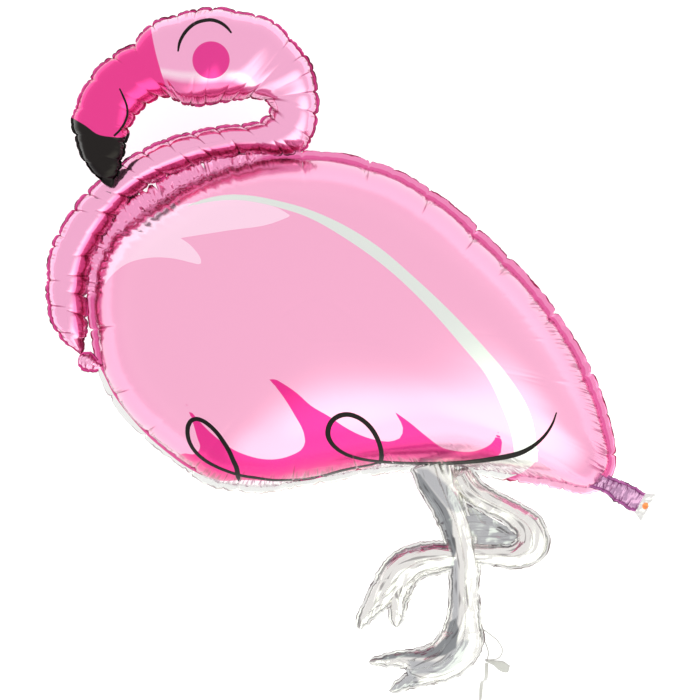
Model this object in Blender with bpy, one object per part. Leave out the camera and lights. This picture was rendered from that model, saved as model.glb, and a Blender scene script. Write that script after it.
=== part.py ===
"""Foil balloon in the shape of a flamingo, lying on its side, with its ribbon.

Two sheets of metallised film are welded round one outline and inflated. The weld lies in one level
plane, body, neck and legs bulge above and below it, and the body rests on a small flat spot.
Metres, +Z up, +Y towards the head, +X towards the tail. The origin is the middle of the flat spot.
"""

import math

import bmesh
import bpy
import numpy as np

# Driving sizes, in metres
FIGURE_HEIGHT = 0.99
BODY_HALF_THICKNESS = 0.142
FLAT_DEPTH = 0.0022
BODY_WELD = 0.009
NECK_WELD = 0.006
LEG_WELD = 0.005
FILM_HALF = 0.0008
RIBBON_WIDTH = 0.005
RIBBON_HALF = 0.0005
LOOP_RADIUS = 0.0007
RIBBON_HOLE_RADIUS = 0.0021
KNOT_RADIUS = 0.0036
COIL_MIDDLE_DIAMETER = 0.055
COIL_PACK_WIDTH = 0.013
VALVE_FILM_HALF = 0.0006
GAP = 0.0003

# The figure is drawn in columns and rows of a picture, rows counted downwards
FIGURE_ROWS = 692.0
ORIGIN_COLUMN = 322.0
ORIGIN_ROW = 321.0
ROW = FIGURE_HEIGHT / FIGURE_ROWS

# A belly of film is fuller than an ellipse: flat on top and upright at the weld
BODY_FULLNESS = 2.4
TUBE_FULLNESS = 2.15
BODY_SIDES = 96
BODY_RINGS = 8
TAIL_TAPER = 0.55
TAIL_ANGLE = math.radians(-30)
TAIL_SPREAD = math.radians(24)
SECTION_STEPS = 6

# Distance between the rings of a welded tube, in metres
CHAMBER_STEP = 0.017
TOE_STEP = 0.011
KNUCKLE_STEP = 0.008
LEAST_BULGE = 0.45

SEAM_Z = BODY_HALF_THICKNESS - FLAT_DEPTH

# Outer edge of the body's weld, clockwise from the left
BODY_POLE = (325.0, 321.0)
BODY_EDGE = [
    (89, 300), (92, 268), (107, 236), (140, 207), (189, 175.5), (245, 156), (300, 151),
    (350, 156), (400, 172), (446, 200), (491, 240), (532, 281), (568, 328), (594, 376),
    (610, 425), (616, 466), (598, 490), (545, 486), (480, 475), (395, 472), (330, 481),
    (255, 492), (212, 486), (168, 457), (128, 421), (104, 385), (93, 345),
]

# Chambers as columns, rows, half width with the weld, height share of the half width, lift
NECK_AND_HEAD = [
    (84, 354, 9, 0.8, 0.0), (77, 340, 13.5, 0.9, 0.0), (71, 322, 18, 0.95, 0.0),
    (67.5, 298, 20.5, 0.95, 0.0), (70, 271, 22.5, 0.95, 0.0), (78, 247, 23.5, 0.95, 0.0),
    (92, 223, 23, 0.95, 0.0), (112, 200, 22, 0.95, 0.0), (140, 178, 20.5, 0.95, 0.0),
    (170, 161, 20, 0.95, 0.0), (200, 149.5, 19.5, 0.95, 0.0), (229, 143, 18.5, 0.95, 0.0),
    (257, 140, 19, 0.95, 0.0), (281, 130, 23.5, 0.9, 0.0), (292, 107, 26.5, 0.85, 0.0),
    (282, 77, 30.5, 0.8, 0.0), (254, 60, 42, 0.72, 0.0), (215, 56.5, 49, 0.7, 0.0),
    (178, 61, 41.5, 0.7, 0.0), (150, 75, 32.5, 0.7, 0.001), (122, 93.5, 32, 0.68, 0.007),
    (107.5, 113.5, 31, 0.62, 0.016), (102, 133, 28.5, 0.58, 0.027), (104, 153, 22.5, 0.54, 0.035),
    (109, 171, 16, 0.52, 0.039), (113, 183, 10, 0.5, 0.040), (115, 189, 4, 0.5, 0.040),
]
KNUCKLE = [
    (103, 367, 5, 0.7, 0.0), (96, 366, 7, 0.9, 0.0), (86, 361, 10, 0.9, 0.0), (78, 358, 6, 0.6, 0.0),
]
STANDING_LEG = [
    (432, 458, 24, 0.55, 0.0), (438, 478, 23, 0.6, 0.0), (449, 506, 18, 0.8, 0.0),
    (458, 532, 16.5, 0.85, 0.0), (464, 560, 16.5, 0.85, 0.0), (464, 592, 15.5, 0.85, 0.0),
    (464.5, 620, 18, 0.85, 0.0), (461, 642, 23, 0.75, 0.0), (443, 660, 21, 0.7, 0.0),
    (420, 668, 19, 0.7, 0.0), (408, 670, 17, 0.65, 0.0),
]
STANDING_UPPER_TOE = [
    (418, 661, 12, 0.7, 0.0), (398, 659, 9, 0.7, 0.0), (381, 661, 6, 0.65, 0.0),
    (369, 662, 3.5, 0.6, 0.0),
]
STANDING_LOWER_TOE = [
    (420, 674, 12, 0.7, 0.0), (408, 681, 9, 0.7, 0.0), (397, 687, 6, 0.65, 0.0),
    (389, 691, 3.5, 0.6, 0.0),
]
BENT_LEG = [
    (458, 470, 15, 0.6, 0.0), (470, 489, 14, 0.8, 0.0), (490, 502, 13.5, 0.85, 0.0),
    (512, 513, 13.5, 0.85, 0.0), (529, 528, 16, 0.8, 0.0), (531, 545, 18, 0.7, 0.0),
    (516, 555, 14, 0.75, 0.0), (495, 554, 12.5, 0.85, 0.0), (466, 554, 13.5, 0.85, 0.0),
    (440, 557, 17, 0.8, 0.0), (416, 562, 18, 0.8, 0.0), (398, 574, 20, 0.75, 0.0),
    (387, 592, 22, 0.65, 0.0), (385, 601, 23, 0.6, 0.0),
]
BENT_LEFT_TOE = [
    (382, 592, 17, 0.6, 0.0), (372, 606, 11, 0.65, 0.0), (365, 617, 7.5, 0.65, 0.0),
    (359, 628, 4.5, 0.6, 0.0),
]
BENT_RIGHT_TOE = [
    (396, 592, 14, 0.6, 0.0), (399, 605, 9.5, 0.65, 0.0), (399.5, 615, 7, 0.65, 0.0),
    (399, 625, 4, 0.6, 0.0),
]
LEG_WEB = [(466, 502), (522, 534), (510, 550), (467, 548)]
TAIL_TUBE = [
    (594, 478, 10, 0.3, 0.0), (606, 484, 8, 0.4, 0.0), (617, 490, 10.5, 0.3, 0.0),
    (630, 497.5, 11.5, 0.25, 0.0), (640, 503, 11, 0.2, 0.0),
]
VALVE_FILM_LENGTH = 0.0135
VALVE_FILM_END = 15.5

# Name, line, width of its weld, share of the film's half thickness, ring distance. The shares differ
# a little, so that no two welds have their faces in one plane
CHAMBERS = [
    ("neck_and_head", NECK_AND_HEAD, NECK_WELD, 1.1, CHAMBER_STEP),
    ("knuckle", KNUCKLE, NECK_WELD, 0.9, KNUCKLE_STEP),
    ("standing_leg", STANDING_LEG, LEG_WELD, 0.95, CHAMBER_STEP),
    ("bent_leg", BENT_LEG, LEG_WELD, 1.05, CHAMBER_STEP),
    ("tail_tube", TAIL_TUBE, LEG_WELD, 0.85, CHAMBER_STEP),
    ("standing_upper_toe", STANDING_UPPER_TOE, LEG_WELD, 0.8, TOE_STEP),
    ("standing_lower_toe", STANDING_LOWER_TOE, LEG_WELD, 0.75, TOE_STEP),
    ("bent_left_toe", BENT_LEFT_TOE, LEG_WELD, 0.92, TOE_STEP),
    ("bent_right_toe", BENT_RIGHT_TOE, LEG_WELD, 0.83, TOE_STEP),
]
WEB_FILM_SHARE = 0.6

# The ribbon's loop goes up through the hole, round to the knot, and back under the weld
RIBBON_HOLE = (482.2, 629.0)
LOOP = [
    (482.2, 629, 0.0), (483.4, 629.5, 0.003), (490, 634, 0.006), (498, 641, 0.008), (502, 651, 0.008),
    (498, 657.5, 0.007), (491, 659, 0.006), (487.4, 659, 0.0045), (488.6, 654, 0.001),
    (487.0, 647, -0.003), (484, 639, -0.0045), (482.4, 631, -0.0035),
]
KNOT = (486.5, 660.0, 0.0045)
LOOSE_END = [
    (488, 660.5, 1.4, 0.0045), (494.5, 662.5, 2.8, 0.0045), (501, 665.5, 5.0, 0.001),
    (506, 668.5, 4.6, -0.003), (509.5, 669.5, 3.6, -0.006),
]

# The run's points: distance from the knot towards -Y, and height over the floor as a share of the seam's
RUN = [
    (0.000, 1.020), (0.006, 1.018), (0.012, 1.006), (0.018, 0.975), (0.023, 0.920), (0.027, 0.850),
    (0.030, 0.770), (0.033, 0.660), (0.036, 0.540), (0.0395, 0.410), (0.044, 0.285), (0.050, 0.180),
    (0.058, 0.100), (0.067, 0.052), (0.077, 0.028), (0.087, 0.0205), (0.096, 0.0200),
]
RUN_POINTS = 30
COIL_SIDES = 56
BAR_SIDES = 12
LOOP_POINTS = 48
LOOP_SIDES = 8
LOOSE_END_POINTS = 9
KNOT_TURNS = 14
KNOT_LEVELS = 7
KNOT_FLATNESS = 0.8
CURVE_STEPS = 8


def clear_scene():
    """Remove every object, so that the script can be run again."""
    for thing in list(bpy.data.objects):
        bpy.data.objects.remove(thing, do_unlink=True)


def place(column, row):
    """A picture point as metres from the origin."""
    return np.array([(column - ORIGIN_COLUMN) * ROW, (ORIGIN_ROW - row) * ROW])


def smooth(points, count, closed=False):
    """Evenly spaced points of the smooth curve through points, in the first two columns' distance."""
    knots = np.array(points, float)
    if closed:
        knots = np.vstack([knots[-1:], knots, knots[:2]])
    steps = np.linalg.norm(np.diff(knots[:, :2], axis=0), axis=1)
    at = np.concatenate([[0.0], np.cumsum(steps)])
    slopes = np.gradient(knots, at, axis=0)
    low, high = (at[1], at[-2]) if closed else (at[0], at[-1])
    t = np.linspace(low, high, count * CURVE_STEPS + 1)
    k = np.clip(np.searchsorted(at, t, side="right") - 1, 0, len(at) - 2)
    span = (at[k + 1] - at[k])[:, None]
    u = ((t - at[k]) / (at[k + 1] - at[k]))[:, None]
    curve = (
        (2 * u**3 - 3 * u**2 + 1) * knots[k]
        + (u**3 - 2 * u**2 + u) * span * slopes[k]
        + (3 * u**2 - 2 * u**3) * knots[k + 1]
        + (u**3 - u**2) * span * slopes[k + 1]
    )
    run = np.concatenate([[0.0], np.cumsum(np.linalg.norm(np.diff(curve[:, :2], axis=0), axis=1))])
    wanted = np.linspace(0.0, run[-1], count + 1 if closed else count)
    if closed:
        wanted = wanted[:-1]
    return np.stack([np.interp(wanted, run, curve[:, j]) for j in range(curve.shape[1])], axis=1)


def make_material(name, colour, roughness, metallic):
    """A Principled material of one colour."""
    material = bpy.data.materials.new(name)
    material.use_nodes = True
    shader = material.node_tree.nodes["Principled BSDF"]
    shader.inputs["Base Color"].default_value = (*colour, 1.0)
    shader.inputs["Roughness"].default_value = roughness
    shader.inputs["Metallic"].default_value = metallic
    return material


def make_object(name, vertices, faces, material, tool=False):
    """A closed mesh object; a tool only takes part in a Boolean and isn't a piece."""
    mesh = bpy.data.meshes.new(name)
    mesh.from_pydata([tuple(v) for v in vertices], [], faces)
    mesh.validate()
    mesh.materials.append(material)
    thing = bpy.data.objects.new(name, mesh)
    bpy.context.scene.collection.objects.link(thing)
    if tool:
        thing.hide_render = True
        thing.display_type = "WIRE"
    return thing


def ring_faces(rings, size):
    """Quads between one ring of size points and the next."""
    faces = []
    for i in range(rings - 1):
        for j in range(size):
            k = (j + 1) % size
            faces.append((i * size + j, i * size + k, (i + 1) * size + k, (i + 1) * size + j))
    return faces


def tube_section(half_width, half_height, weld, film):
    """Round section with a flat weld on both sides: lateral and upward distances, anticlockwise."""
    turn = np.linspace(0.0, math.pi, SECTION_STEPS + 1)
    power = 2.0 / TUBE_FULLNESS
    across = half_width * np.sign(np.cos(turn)) * np.abs(np.cos(turn)) ** power
    up = np.maximum(half_height * np.abs(np.sin(turn)) ** power, film)
    outer = half_width + weld
    lateral = np.concatenate([[outer], across, [-outer, -outer], across[::-1], [outer]])
    upward = np.concatenate([[film], up, [film, -film], -up[::-1], [-film]])
    return lateral, upward


def chamber(name, rows, weld, film, step, material):
    """A welded tube along a line of (column, row, half width, height share, lift)."""
    length = np.linalg.norm(np.diff(np.array(rows, float)[:, :2], axis=0), axis=1).sum() * ROW
    line = smooth(rows, max(4, int(round(length / step)) + 1))
    centre = np.stack([place(c, r) for c, r in line[:, :2]])
    along = np.gradient(centre, axis=0)
    along /= np.linalg.norm(along, axis=1)[:, None]
    vertices = []
    for point, way, (_, _, half, share, lift) in zip(centre, along, line):
        outer = half * ROW
        inner = max(outer - weld, LEAST_BULGE * outer)
        lateral, upward = tube_section(inner, max(share * inner, film), outer - inner, film)
        side = np.array([way[1], -way[0]])
        for a, u in zip(lateral, upward):
            vertices.append((point[0] + a * side[0], point[1] + a * side[1], SEAM_Z + lift + u))
    size = len(lateral)
    faces = ring_faces(len(line), size)
    faces.append(tuple(range(size - 1, -1, -1)))
    faces.append(tuple(range((len(line) - 1) * size, len(line) * size)))
    return make_object(name, vertices, faces, material, tool=True)


def body_height(ring_angle, direction):
    """Half thickness of the body at one ring, lower towards the tail's corner."""
    share = math.sin(ring_angle) ** (2.0 / BODY_FULLNESS)
    reach = math.cos(ring_angle) ** 2
    dip = TAIL_TAPER * reach * np.exp(-((direction - TAIL_ANGLE) / TAIL_SPREAD) ** 2)
    return BODY_HALF_THICKNESS * share * (1.0 - dip)


def body(name, material):
    """The belly: rings of the outline drawn in towards its pole, above and below a flat weld."""
    edge = np.stack([place(c, r) for c, r in smooth(BODY_EDGE, BODY_SIDES, closed=True)])
    way = np.roll(edge, -1, axis=0) - np.roll(edge, 1, axis=0)
    way /= np.linalg.norm(way, axis=1)[:, None]
    seam = edge + BODY_WELD * np.stack([way[:, 1], -way[:, 0]], axis=1)
    pole = place(*BODY_POLE)
    spokes = seam - pole
    direction = np.arctan2(spokes[:, 1], spokes[:, 0])
    flat_share = SEAM_Z / BODY_HALF_THICKNESS
    flat_angle = math.asin(flat_share ** (BODY_FULLNESS / 2.0))
    vertices, power = [], 2.0 / BODY_FULLNESS

    def add_ring(points, heights):
        for point, height in zip(points, heights):
            vertices.append((point[0], point[1], height))

    for angle in np.linspace(flat_angle, 0.0, BODY_RINGS):
        depth = np.maximum(body_height(angle, direction), FILM_HALF)
        heights = np.full(len(seam), 0.0) if angle == flat_angle else SEAM_Z - depth
        add_ring(pole + spokes * math.cos(angle) ** power, heights)
    add_ring(edge, np.full(len(edge), SEAM_Z - FILM_HALF))
    add_ring(edge, np.full(len(edge), SEAM_Z + FILM_HALF))
    for angle in np.linspace(0.0, 0.5 * math.pi, BODY_RINGS + 1)[:-1]:
        height = np.maximum(body_height(angle, direction), FILM_HALF)
        add_ring(pole + spokes * math.cos(angle) ** power, SEAM_Z + height)
    rings = 2 * BODY_RINGS + 2
    faces = ring_faces(rings, BODY_SIDES)
    faces.append(tuple(range(BODY_SIDES - 1, -1, -1)))
    last = (rings - 1) * BODY_SIDES
    vertices.append((pole[0], pole[1], SEAM_Z + BODY_HALF_THICKNESS))
    for j in range(BODY_SIDES):
        faces.append((last + j, last + (j + 1) % BODY_SIDES, len(vertices) - 1))
    return make_object(name, vertices, faces, material)


def flat_plate(name, corners, half, material):
    """A thin level plate in the seam plane."""
    points = [place(c, r) for c, r in corners]
    vertices = [(p[0], p[1], SEAM_Z - half) for p in points]
    vertices += [(p[0], p[1], SEAM_Z + half) for p in points]
    size = len(points)
    faces = ring_faces(2, size)
    faces.append(tuple(range(size - 1, -1, -1)))
    faces.append(tuple(range(size, 2 * size)))
    return make_object(name, vertices, faces, material, tool=True)


def strip(name, rows, half, material, count, tool=True):
    """A flat strip of film or ribbon along a line of (column, row, half width, lift)."""
    line = smooth(rows, count)
    centre = np.stack([place(c, r) for c, r in line[:, :2]])
    along = np.gradient(centre, axis=0)
    along /= np.linalg.norm(along, axis=1)[:, None]
    vertices = []
    for point, way, (_, _, reach, lift) in zip(centre, along, line):
        side = np.array([way[1], -way[0]]) * reach * ROW
        for a, u in ((1, -half), (1, half), (-1, half), (-1, -half)):
            vertices.append((*(point + a * side), SEAM_Z + lift + u))
    faces = [*ring_faces(count, 4), (3, 2, 1, 0), tuple(range(4 * count - 4, 4 * count))]
    thing = make_object(name, vertices, faces, material, tool)
    face_outwards(thing)
    return thing


def combine(thing, tools, operation, folded=False):
    """Exact Booleans of thing with each tool, in order; folded is for a tool that touches itself."""
    for tool in tools:
        step = thing.modifiers.new(tool.name, "BOOLEAN")
        step.operation = operation
        step.solver = "EXACT"
        step.use_self = folded
        step.object = tool


def face_outwards(thing):
    """Turn a mesh's faces so that they point out of it."""
    mesh = bmesh.new()
    mesh.from_mesh(thing.data)
    bmesh.ops.recalc_face_normals(mesh, faces=mesh.faces)
    mesh.to_mesh(thing.data)
    mesh.free()


def round_bar(name, centre, radius, material):
    """An upright cutter through the seam plane."""
    turn = np.arange(BAR_SIDES) * 2.0 * math.pi / BAR_SIDES
    vertices = []
    for height in (SEAM_Z - BODY_WELD, SEAM_Z + BODY_WELD):
        for a in turn:
            vertices.append((centre[0] + radius * math.cos(a), centre[1] + radius * math.sin(a), height))
    faces = ring_faces(2, BAR_SIDES)
    faces.append(tuple(range(BAR_SIDES - 1, -1, -1)))
    faces.append(tuple(range(BAR_SIDES, 2 * BAR_SIDES)))
    return make_object(name, vertices, faces, material, tool=True)


def envelope():
    """The whole welded foil piece."""
    foil = make_material("pink printed foil film", (0.93, 0.42, 0.62), 0.25, 0.7)
    whole = body("foil_envelope", foil)
    parts = []
    for name, rows, weld, share, step in CHAMBERS:
        parts.append(chamber(name, rows, weld, FILM_HALF * share, step, foil))
    parts.append(flat_plate("leg_web", LEG_WEB, FILM_HALF * WEB_FILM_SHARE, foil))
    for thing in [whole, *parts]:
        face_outwards(thing)
    combine(whole, parts, "UNION")
    drill = round_bar("ribbon_hole", place(*RIBBON_HOLE), RIBBON_HOLE_RADIUS, foil)
    face_outwards(drill)
    combine(whole, [drill], "DIFFERENCE")
    return whole


def valve_film():
    """The strip of plain film at the tail tube's open end, flared and a gap away from it."""
    film = make_material("clear valve film", (0.85, 0.85, 0.82), 0.35, 0.3)
    tube_end = np.array(TAIL_TUBE[-1][:2], float)
    way = tube_end - np.array(TAIL_TUBE[-2][:2], float)
    way /= np.linalg.norm(way)
    near = tube_end + way * GAP / ROW
    far = near + way * VALVE_FILM_LENGTH / ROW
    rows = [(*near, TAIL_TUBE[-1][2], 0.0), (*far, VALVE_FILM_END, 0.0)]
    return strip("valve_film", rows, VALVE_FILM_HALF, film, 2, tool=False)


def loop_tube(name, points, radius, material):
    """A round closed tube through points, each ring square to the line."""
    along = np.roll(points, -1, axis=0) - np.roll(points, 1, axis=0)
    along /= np.linalg.norm(along, axis=1)[:, None]
    normal = np.cross(along[0], (0.0, 0.0, 1.0))
    vertices = []
    for point, way in zip(points, along):
        normal = normal - way * np.dot(normal, way)
        normal /= np.linalg.norm(normal)
        other = np.cross(way, normal)
        for j in range(LOOP_SIDES):
            a = 2.0 * math.pi * j / LOOP_SIDES
            vertices.append(point + radius * (math.cos(a) * normal + math.sin(a) * other))
    faces = ring_faces(len(points), LOOP_SIDES)
    start = (len(points) - 1) * LOOP_SIDES
    first, last = np.array(vertices[:LOOP_SIDES]), np.array(vertices[start:])
    shift = int(np.argmin([np.abs(np.roll(first, -s, axis=0) - last).sum() for s in range(LOOP_SIDES)]))
    for j in range(LOOP_SIDES):
        k = (j + 1) % LOOP_SIDES
        faces.append((start + j, start + k, (k + shift) % LOOP_SIDES, (j + shift) % LOOP_SIDES))
    return make_object(name, vertices, faces, material, tool=True)


def ribbon_material():
    """The one finish of the ribbon's three parts."""
    return make_material("smooth white ribbon", (0.92, 0.92, 0.92), 0.4, 0.0)


def ribbon_knot(material):
    """Knot, with the loop through the weld's hole and the short loose end."""
    at = np.array([*place(KNOT[0], KNOT[1]), SEAM_Z + KNOT[2]])
    vertices = []
    for i in range(1, KNOT_LEVELS):
        tilt = math.pi * i / KNOT_LEVELS
        for j in range(KNOT_TURNS):
            a = 2.0 * math.pi * j / KNOT_TURNS
            level = (math.sin(tilt) * math.cos(a), math.sin(tilt) * math.sin(a))
            ball = np.array([*level, KNOT_FLATNESS * math.cos(tilt)])
            vertices.append(at + KNOT_RADIUS * ball)
    faces = ring_faces(KNOT_LEVELS - 1, KNOT_TURNS)
    last = (KNOT_LEVELS - 2) * KNOT_TURNS
    faces.append(tuple(range(KNOT_TURNS)))
    faces.append(tuple(range(last + KNOT_TURNS - 1, last - 1, -1)))
    knot = make_object("ribbon_knot", vertices, faces, material)
    curve = smooth([(*place(c, r), SEAM_Z + z) for c, r, z in LOOP], LOOP_POINTS, closed=True)
    loop = loop_tube("ribbon_loop", curve, LOOP_RADIUS, material)
    loose = strip("ribbon_loose_end", LOOSE_END, RIBBON_HALF, material, LOOSE_END_POINTS)
    for thing in (knot, loop, loose):
        face_outwards(thing)
    combine(knot, [loop, loose], "UNION", folded=True)
    return knot


def run_route():
    """The stretch of ribbon between the knot and the coil: out, down and along the floor."""
    knot = place(KNOT[0], KNOT[1])
    points = [(knot[0], knot[1] - KNOT_RADIUS - GAP - d, SEAM_Z * h) for d, h in RUN]
    flat = [(-p[1], p[2], p[0]) for p in points]
    return [(p[2], -p[0], p[1]) for p in smooth(flat, RUN_POINTS)]


def ribbon_run(material):
    """The uncoiled stretch, as a round tube as wide as the ribbon."""
    data = bpy.data.curves.new("ribbon_run", "CURVE")
    data.dimensions = "3D"
    data.bevel_depth = 0.5 * RIBBON_WIDTH
    data.bevel_resolution = 2
    data.use_fill_caps = True
    route = run_route()
    spline = data.splines.new("POLY")
    spline.points.add(len(route) - 1)
    for point, where in zip(spline.points, route):
        point.co = (*where, 1.0)
    data.materials.append(material)
    thing = bpy.data.objects.new("ribbon_run", data)
    bpy.context.scene.collection.objects.link(thing)
    return thing


def ribbon_coil(material):
    """The wound-up length, as one ring on the floor that the run comes up beside."""
    end = run_route()[-1]
    middle = 0.5 * COIL_MIDDLE_DIAMETER
    inner, outer = middle - 0.5 * COIL_PACK_WIDTH, middle + 0.5 * COIL_PACK_WIDTH
    reach = math.sqrt((outer + GAP) ** 2 - (middle - 0.5 * RIBBON_WIDTH) ** 2)
    centre = (end[0] + middle, end[1] - reach)
    vertices = []
    for radius, height in ((inner, 0.0), (outer, 0.0), (outer, RIBBON_WIDTH), (inner, RIBBON_WIDTH)):
        for j in range(COIL_SIDES):
            a = 2.0 * math.pi * j / COIL_SIDES
            vertices.append((centre[0] + radius * math.cos(a), centre[1] + radius * math.sin(a), height))
    faces = ring_faces(4, COIL_SIDES)
    for j in range(COIL_SIDES):
        k = (j + 1) % COIL_SIDES
        faces.append((3 * COIL_SIDES + j, 3 * COIL_SIDES + k, k, j))
    thing = make_object("ribbon_coil", vertices, faces, material)
    face_outwards(thing)
    return thing


clear_scene()
envelope()
valve_film()
ribbon = ribbon_material()
ribbon_knot(ribbon)
ribbon_run(ribbon)
ribbon_coil(ribbon)
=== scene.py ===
import math

import bpy
import numpy as np
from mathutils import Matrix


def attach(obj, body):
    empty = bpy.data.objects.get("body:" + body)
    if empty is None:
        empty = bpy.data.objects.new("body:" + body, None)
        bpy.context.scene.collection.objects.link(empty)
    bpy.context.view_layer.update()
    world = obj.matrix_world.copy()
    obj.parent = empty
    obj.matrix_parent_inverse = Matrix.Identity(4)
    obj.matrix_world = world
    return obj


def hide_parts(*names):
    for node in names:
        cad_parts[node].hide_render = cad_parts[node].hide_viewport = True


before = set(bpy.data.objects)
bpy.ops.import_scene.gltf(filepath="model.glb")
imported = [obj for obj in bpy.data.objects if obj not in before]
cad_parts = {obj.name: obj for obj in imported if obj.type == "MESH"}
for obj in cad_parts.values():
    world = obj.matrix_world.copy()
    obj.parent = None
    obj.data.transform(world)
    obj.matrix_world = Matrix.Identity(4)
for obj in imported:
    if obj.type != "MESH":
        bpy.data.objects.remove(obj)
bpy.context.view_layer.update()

# Camera
# The balloon lies on its side, and the photograph is taken from straight above it. The figure is
# 692 rows of the picture high and 0.99 m long, so places on it are given in columns and rows.
ROW = 0.99 / 692.0
SEAM_Z = 0.1398
ORIGIN_COLUMN = 322.0
ORIGIN_ROW = 321.0
PICTURE_MIDDLE = 350.0
CAMERA_HEIGHT = 3.2


def place(column, row):
    """Metres in the seam plane: columns run along +X and rows against +Y, one row being ROW metres."""
    return np.stack([(np.asarray(column, float) - ORIGIN_COLUMN) * ROW,
                     (ORIGIN_ROW - np.asarray(row, float)) * ROW], axis=-1)


view_middle = place(PICTURE_MIDDLE, PICTURE_MIDDLE)
lens = bpy.data.cameras.new("camera")
lens.sensor_width = 36.0
lens.lens = 0.5 * lens.sensor_width * (CAMERA_HEIGHT - SEAM_Z) / (PICTURE_MIDDLE * ROW)
camera = bpy.data.objects.new("camera", lens)
camera.location = (view_middle[0], view_middle[1], CAMERA_HEIGHT)
bpy.context.scene.collection.objects.link(camera)
bpy.context.scene.camera = camera

# Ribbon
# A flat ribbon of white woven polypropylene, 5 mm wide, tied to the foot's weld. It hangs from the
# knot to the floor, runs along it, turns on edge and is wound up beside the foot, cut end inside.
RIBBON_WIDTH = 0.005
RIBBON_THICKNESS = 0.00025
KNOT = (486.5, 660.0, 0.0045)
KNOT_RADIUS = 0.0036
RUN = [
    (0.0000, 1.020), (0.006, 1.018), (0.012, 1.006), (0.018, 0.975), (0.023, 0.920), (0.027, 0.850),
    (0.030, 0.770), (0.033, 0.660), (0.036, 0.540), (0.0395, 0.410), (0.044, 0.285), (0.050, 0.180),
    (0.058, 0.100), (0.067, 0.052), (0.077, 0.028), (0.087, 0.0205), (0.096, 0.0200),
]
COIL_TURNS = 7.0
COIL_OUTER = 0.0336
COIL_PITCH = 0.00185
COIL_MIDDLE_RADIUS = 0.0275
COIL_CLEAR_RADIUS = 0.0343
WEAVE_PITCH = 0.0006
GAP = 0.0003
BEND_LENGTH = 0.03
RUN_LOWEST = 0.0028


def run_along(line):
    """The distance along a line from its first point to each of its points."""
    return np.concatenate([[0.0], np.cumsum(np.linalg.norm(np.diff(line, axis=0), axis=1))])


def smooth(points, count, closed=False):
    """Evenly spaced points of the piecewise cubic that goes through points, with each slope taken from
    the points beside it, spaced by the distance in the first two columns."""
    knots = np.array(points, float)
    if closed:
        knots = np.vstack([knots[-1:], knots, knots[:2]])
    at = run_along(knots[:, :2])
    slopes = np.gradient(knots, at, axis=0)
    low, high = (at[1], at[-2]) if closed else (at[0], at[-1])
    t = np.linspace(low, high, count * 8 + 1)
    k = np.clip(np.searchsorted(at, t, side="right") - 1, 0, len(at) - 2)
    span = (at[k + 1] - at[k])[:, None]
    u = (t - at[k])[:, None] / span
    curve = ((2 * u**3 - 3 * u**2 + 1) * knots[k] + (u**3 - 2 * u**2 + u) * span * slopes[k]
             + (3 * u**2 - 2 * u**3) * knots[k + 1] + (u**3 - u**2) * span * slopes[k + 1])
    run = run_along(curve[:, :2])
    wanted = np.linspace(0.0, run[-1], count + 1 if closed else count)
    wanted = wanted[:-1] if closed else wanted
    return np.stack([np.interp(wanted, run, curve[:, j]) for j in range(curve.shape[1])], axis=1)


def ease(x):
    """0 to 1 along a smooth step, for x from 0 to 1."""
    x = np.clip(x, 0.0, 1.0)
    return x * x * (3.0 - 2.0 * x)


def unit(vectors):
    """Vectors divided by their lengths."""
    return vectors / np.maximum(np.linalg.norm(vectors, axis=-1, keepdims=True), 1e-12)


def grid_faces(rows, columns, wrap_rows=False, wrap_columns=False):
    """Quads of a grid of rows by columns points, joined end to end where it wraps."""
    i = np.arange(rows if wrap_rows else rows - 1)
    j = np.arange(columns if wrap_columns else columns - 1)
    i, j = np.meshgrid(i, j, indexing="ij")
    i2, j2 = (i + 1) % rows, (j + 1) % columns
    return np.stack([i * columns + j, i * columns + j2, i2 * columns + j2, i2 * columns + j],
                    axis=-1).reshape(-1, 4)


def linear(hex_colour):
    """An sRGB hex colour as linear red, green, blue and a one."""
    parts = [int(hex_colour[i:i + 2], 16) / 255.0 for i in (1, 3, 5)]
    return tuple(c / 12.92 if c <= 0.04045 else ((c + 0.055) / 1.055) ** 2.4 for c in parts) + (1.0,)


def add(tree, kind, links=(), **settings):
    """A node of that kind; settings are its attributes, or its sockets where a key starts with
    in_ and a number, and links are pairs of an input and the output that feeds it."""
    made = tree.nodes.new(kind)
    for key, value in settings.items():
        if key.startswith("in_"):
            made.inputs[int(key[3:])].default_value = value
        else:
            setattr(made, key, value)
    for socket, source in links:
        tree.links.new(source, made.inputs[socket])
    return made


def new_material(name, **sockets):
    """A Principled material with its constant sockets set; returns it, its tree and its shader."""
    made = bpy.data.materials.new(name)
    made.use_nodes = True
    shader = made.node_tree.nodes["Principled BSDF"]
    for key, value in sockets.items():
        shader.inputs[key.replace("_", " ")].default_value = value
    return made, made.node_tree, shader


def new_piece(name, points, faces, material, stands_for=(), fields=None, smooth_faces=True):
    """A mesh object at the origin from arrays of points and faces, with its named fields on the points."""
    mesh = bpy.data.meshes.new(name)
    corners = np.asarray(points, float).reshape(-1, 3).tolist()
    mesh.from_pydata(corners, [], [list(map(int, f)) for f in faces])
    for key, values in (fields or {}).items():
        values = np.asarray(values, np.float32)
        if values.ndim == 2:
            mesh.attributes.new(key, "FLOAT_VECTOR", "POINT").data.foreach_set("vector", values.ravel())
        else:
            mesh.attributes.new(key, "FLOAT", "POINT").data.foreach_set("value", values)
    mesh.polygons.foreach_set("use_smooth", np.full(len(mesh.polygons), smooth_faces))
    mesh.materials.append(material)
    thing = bpy.data.objects.new(name, mesh)
    bpy.context.scene.collection.objects.link(thing)
    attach(thing, "root")
    if stands_for:
        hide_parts(*stands_for)
    return thing


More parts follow.
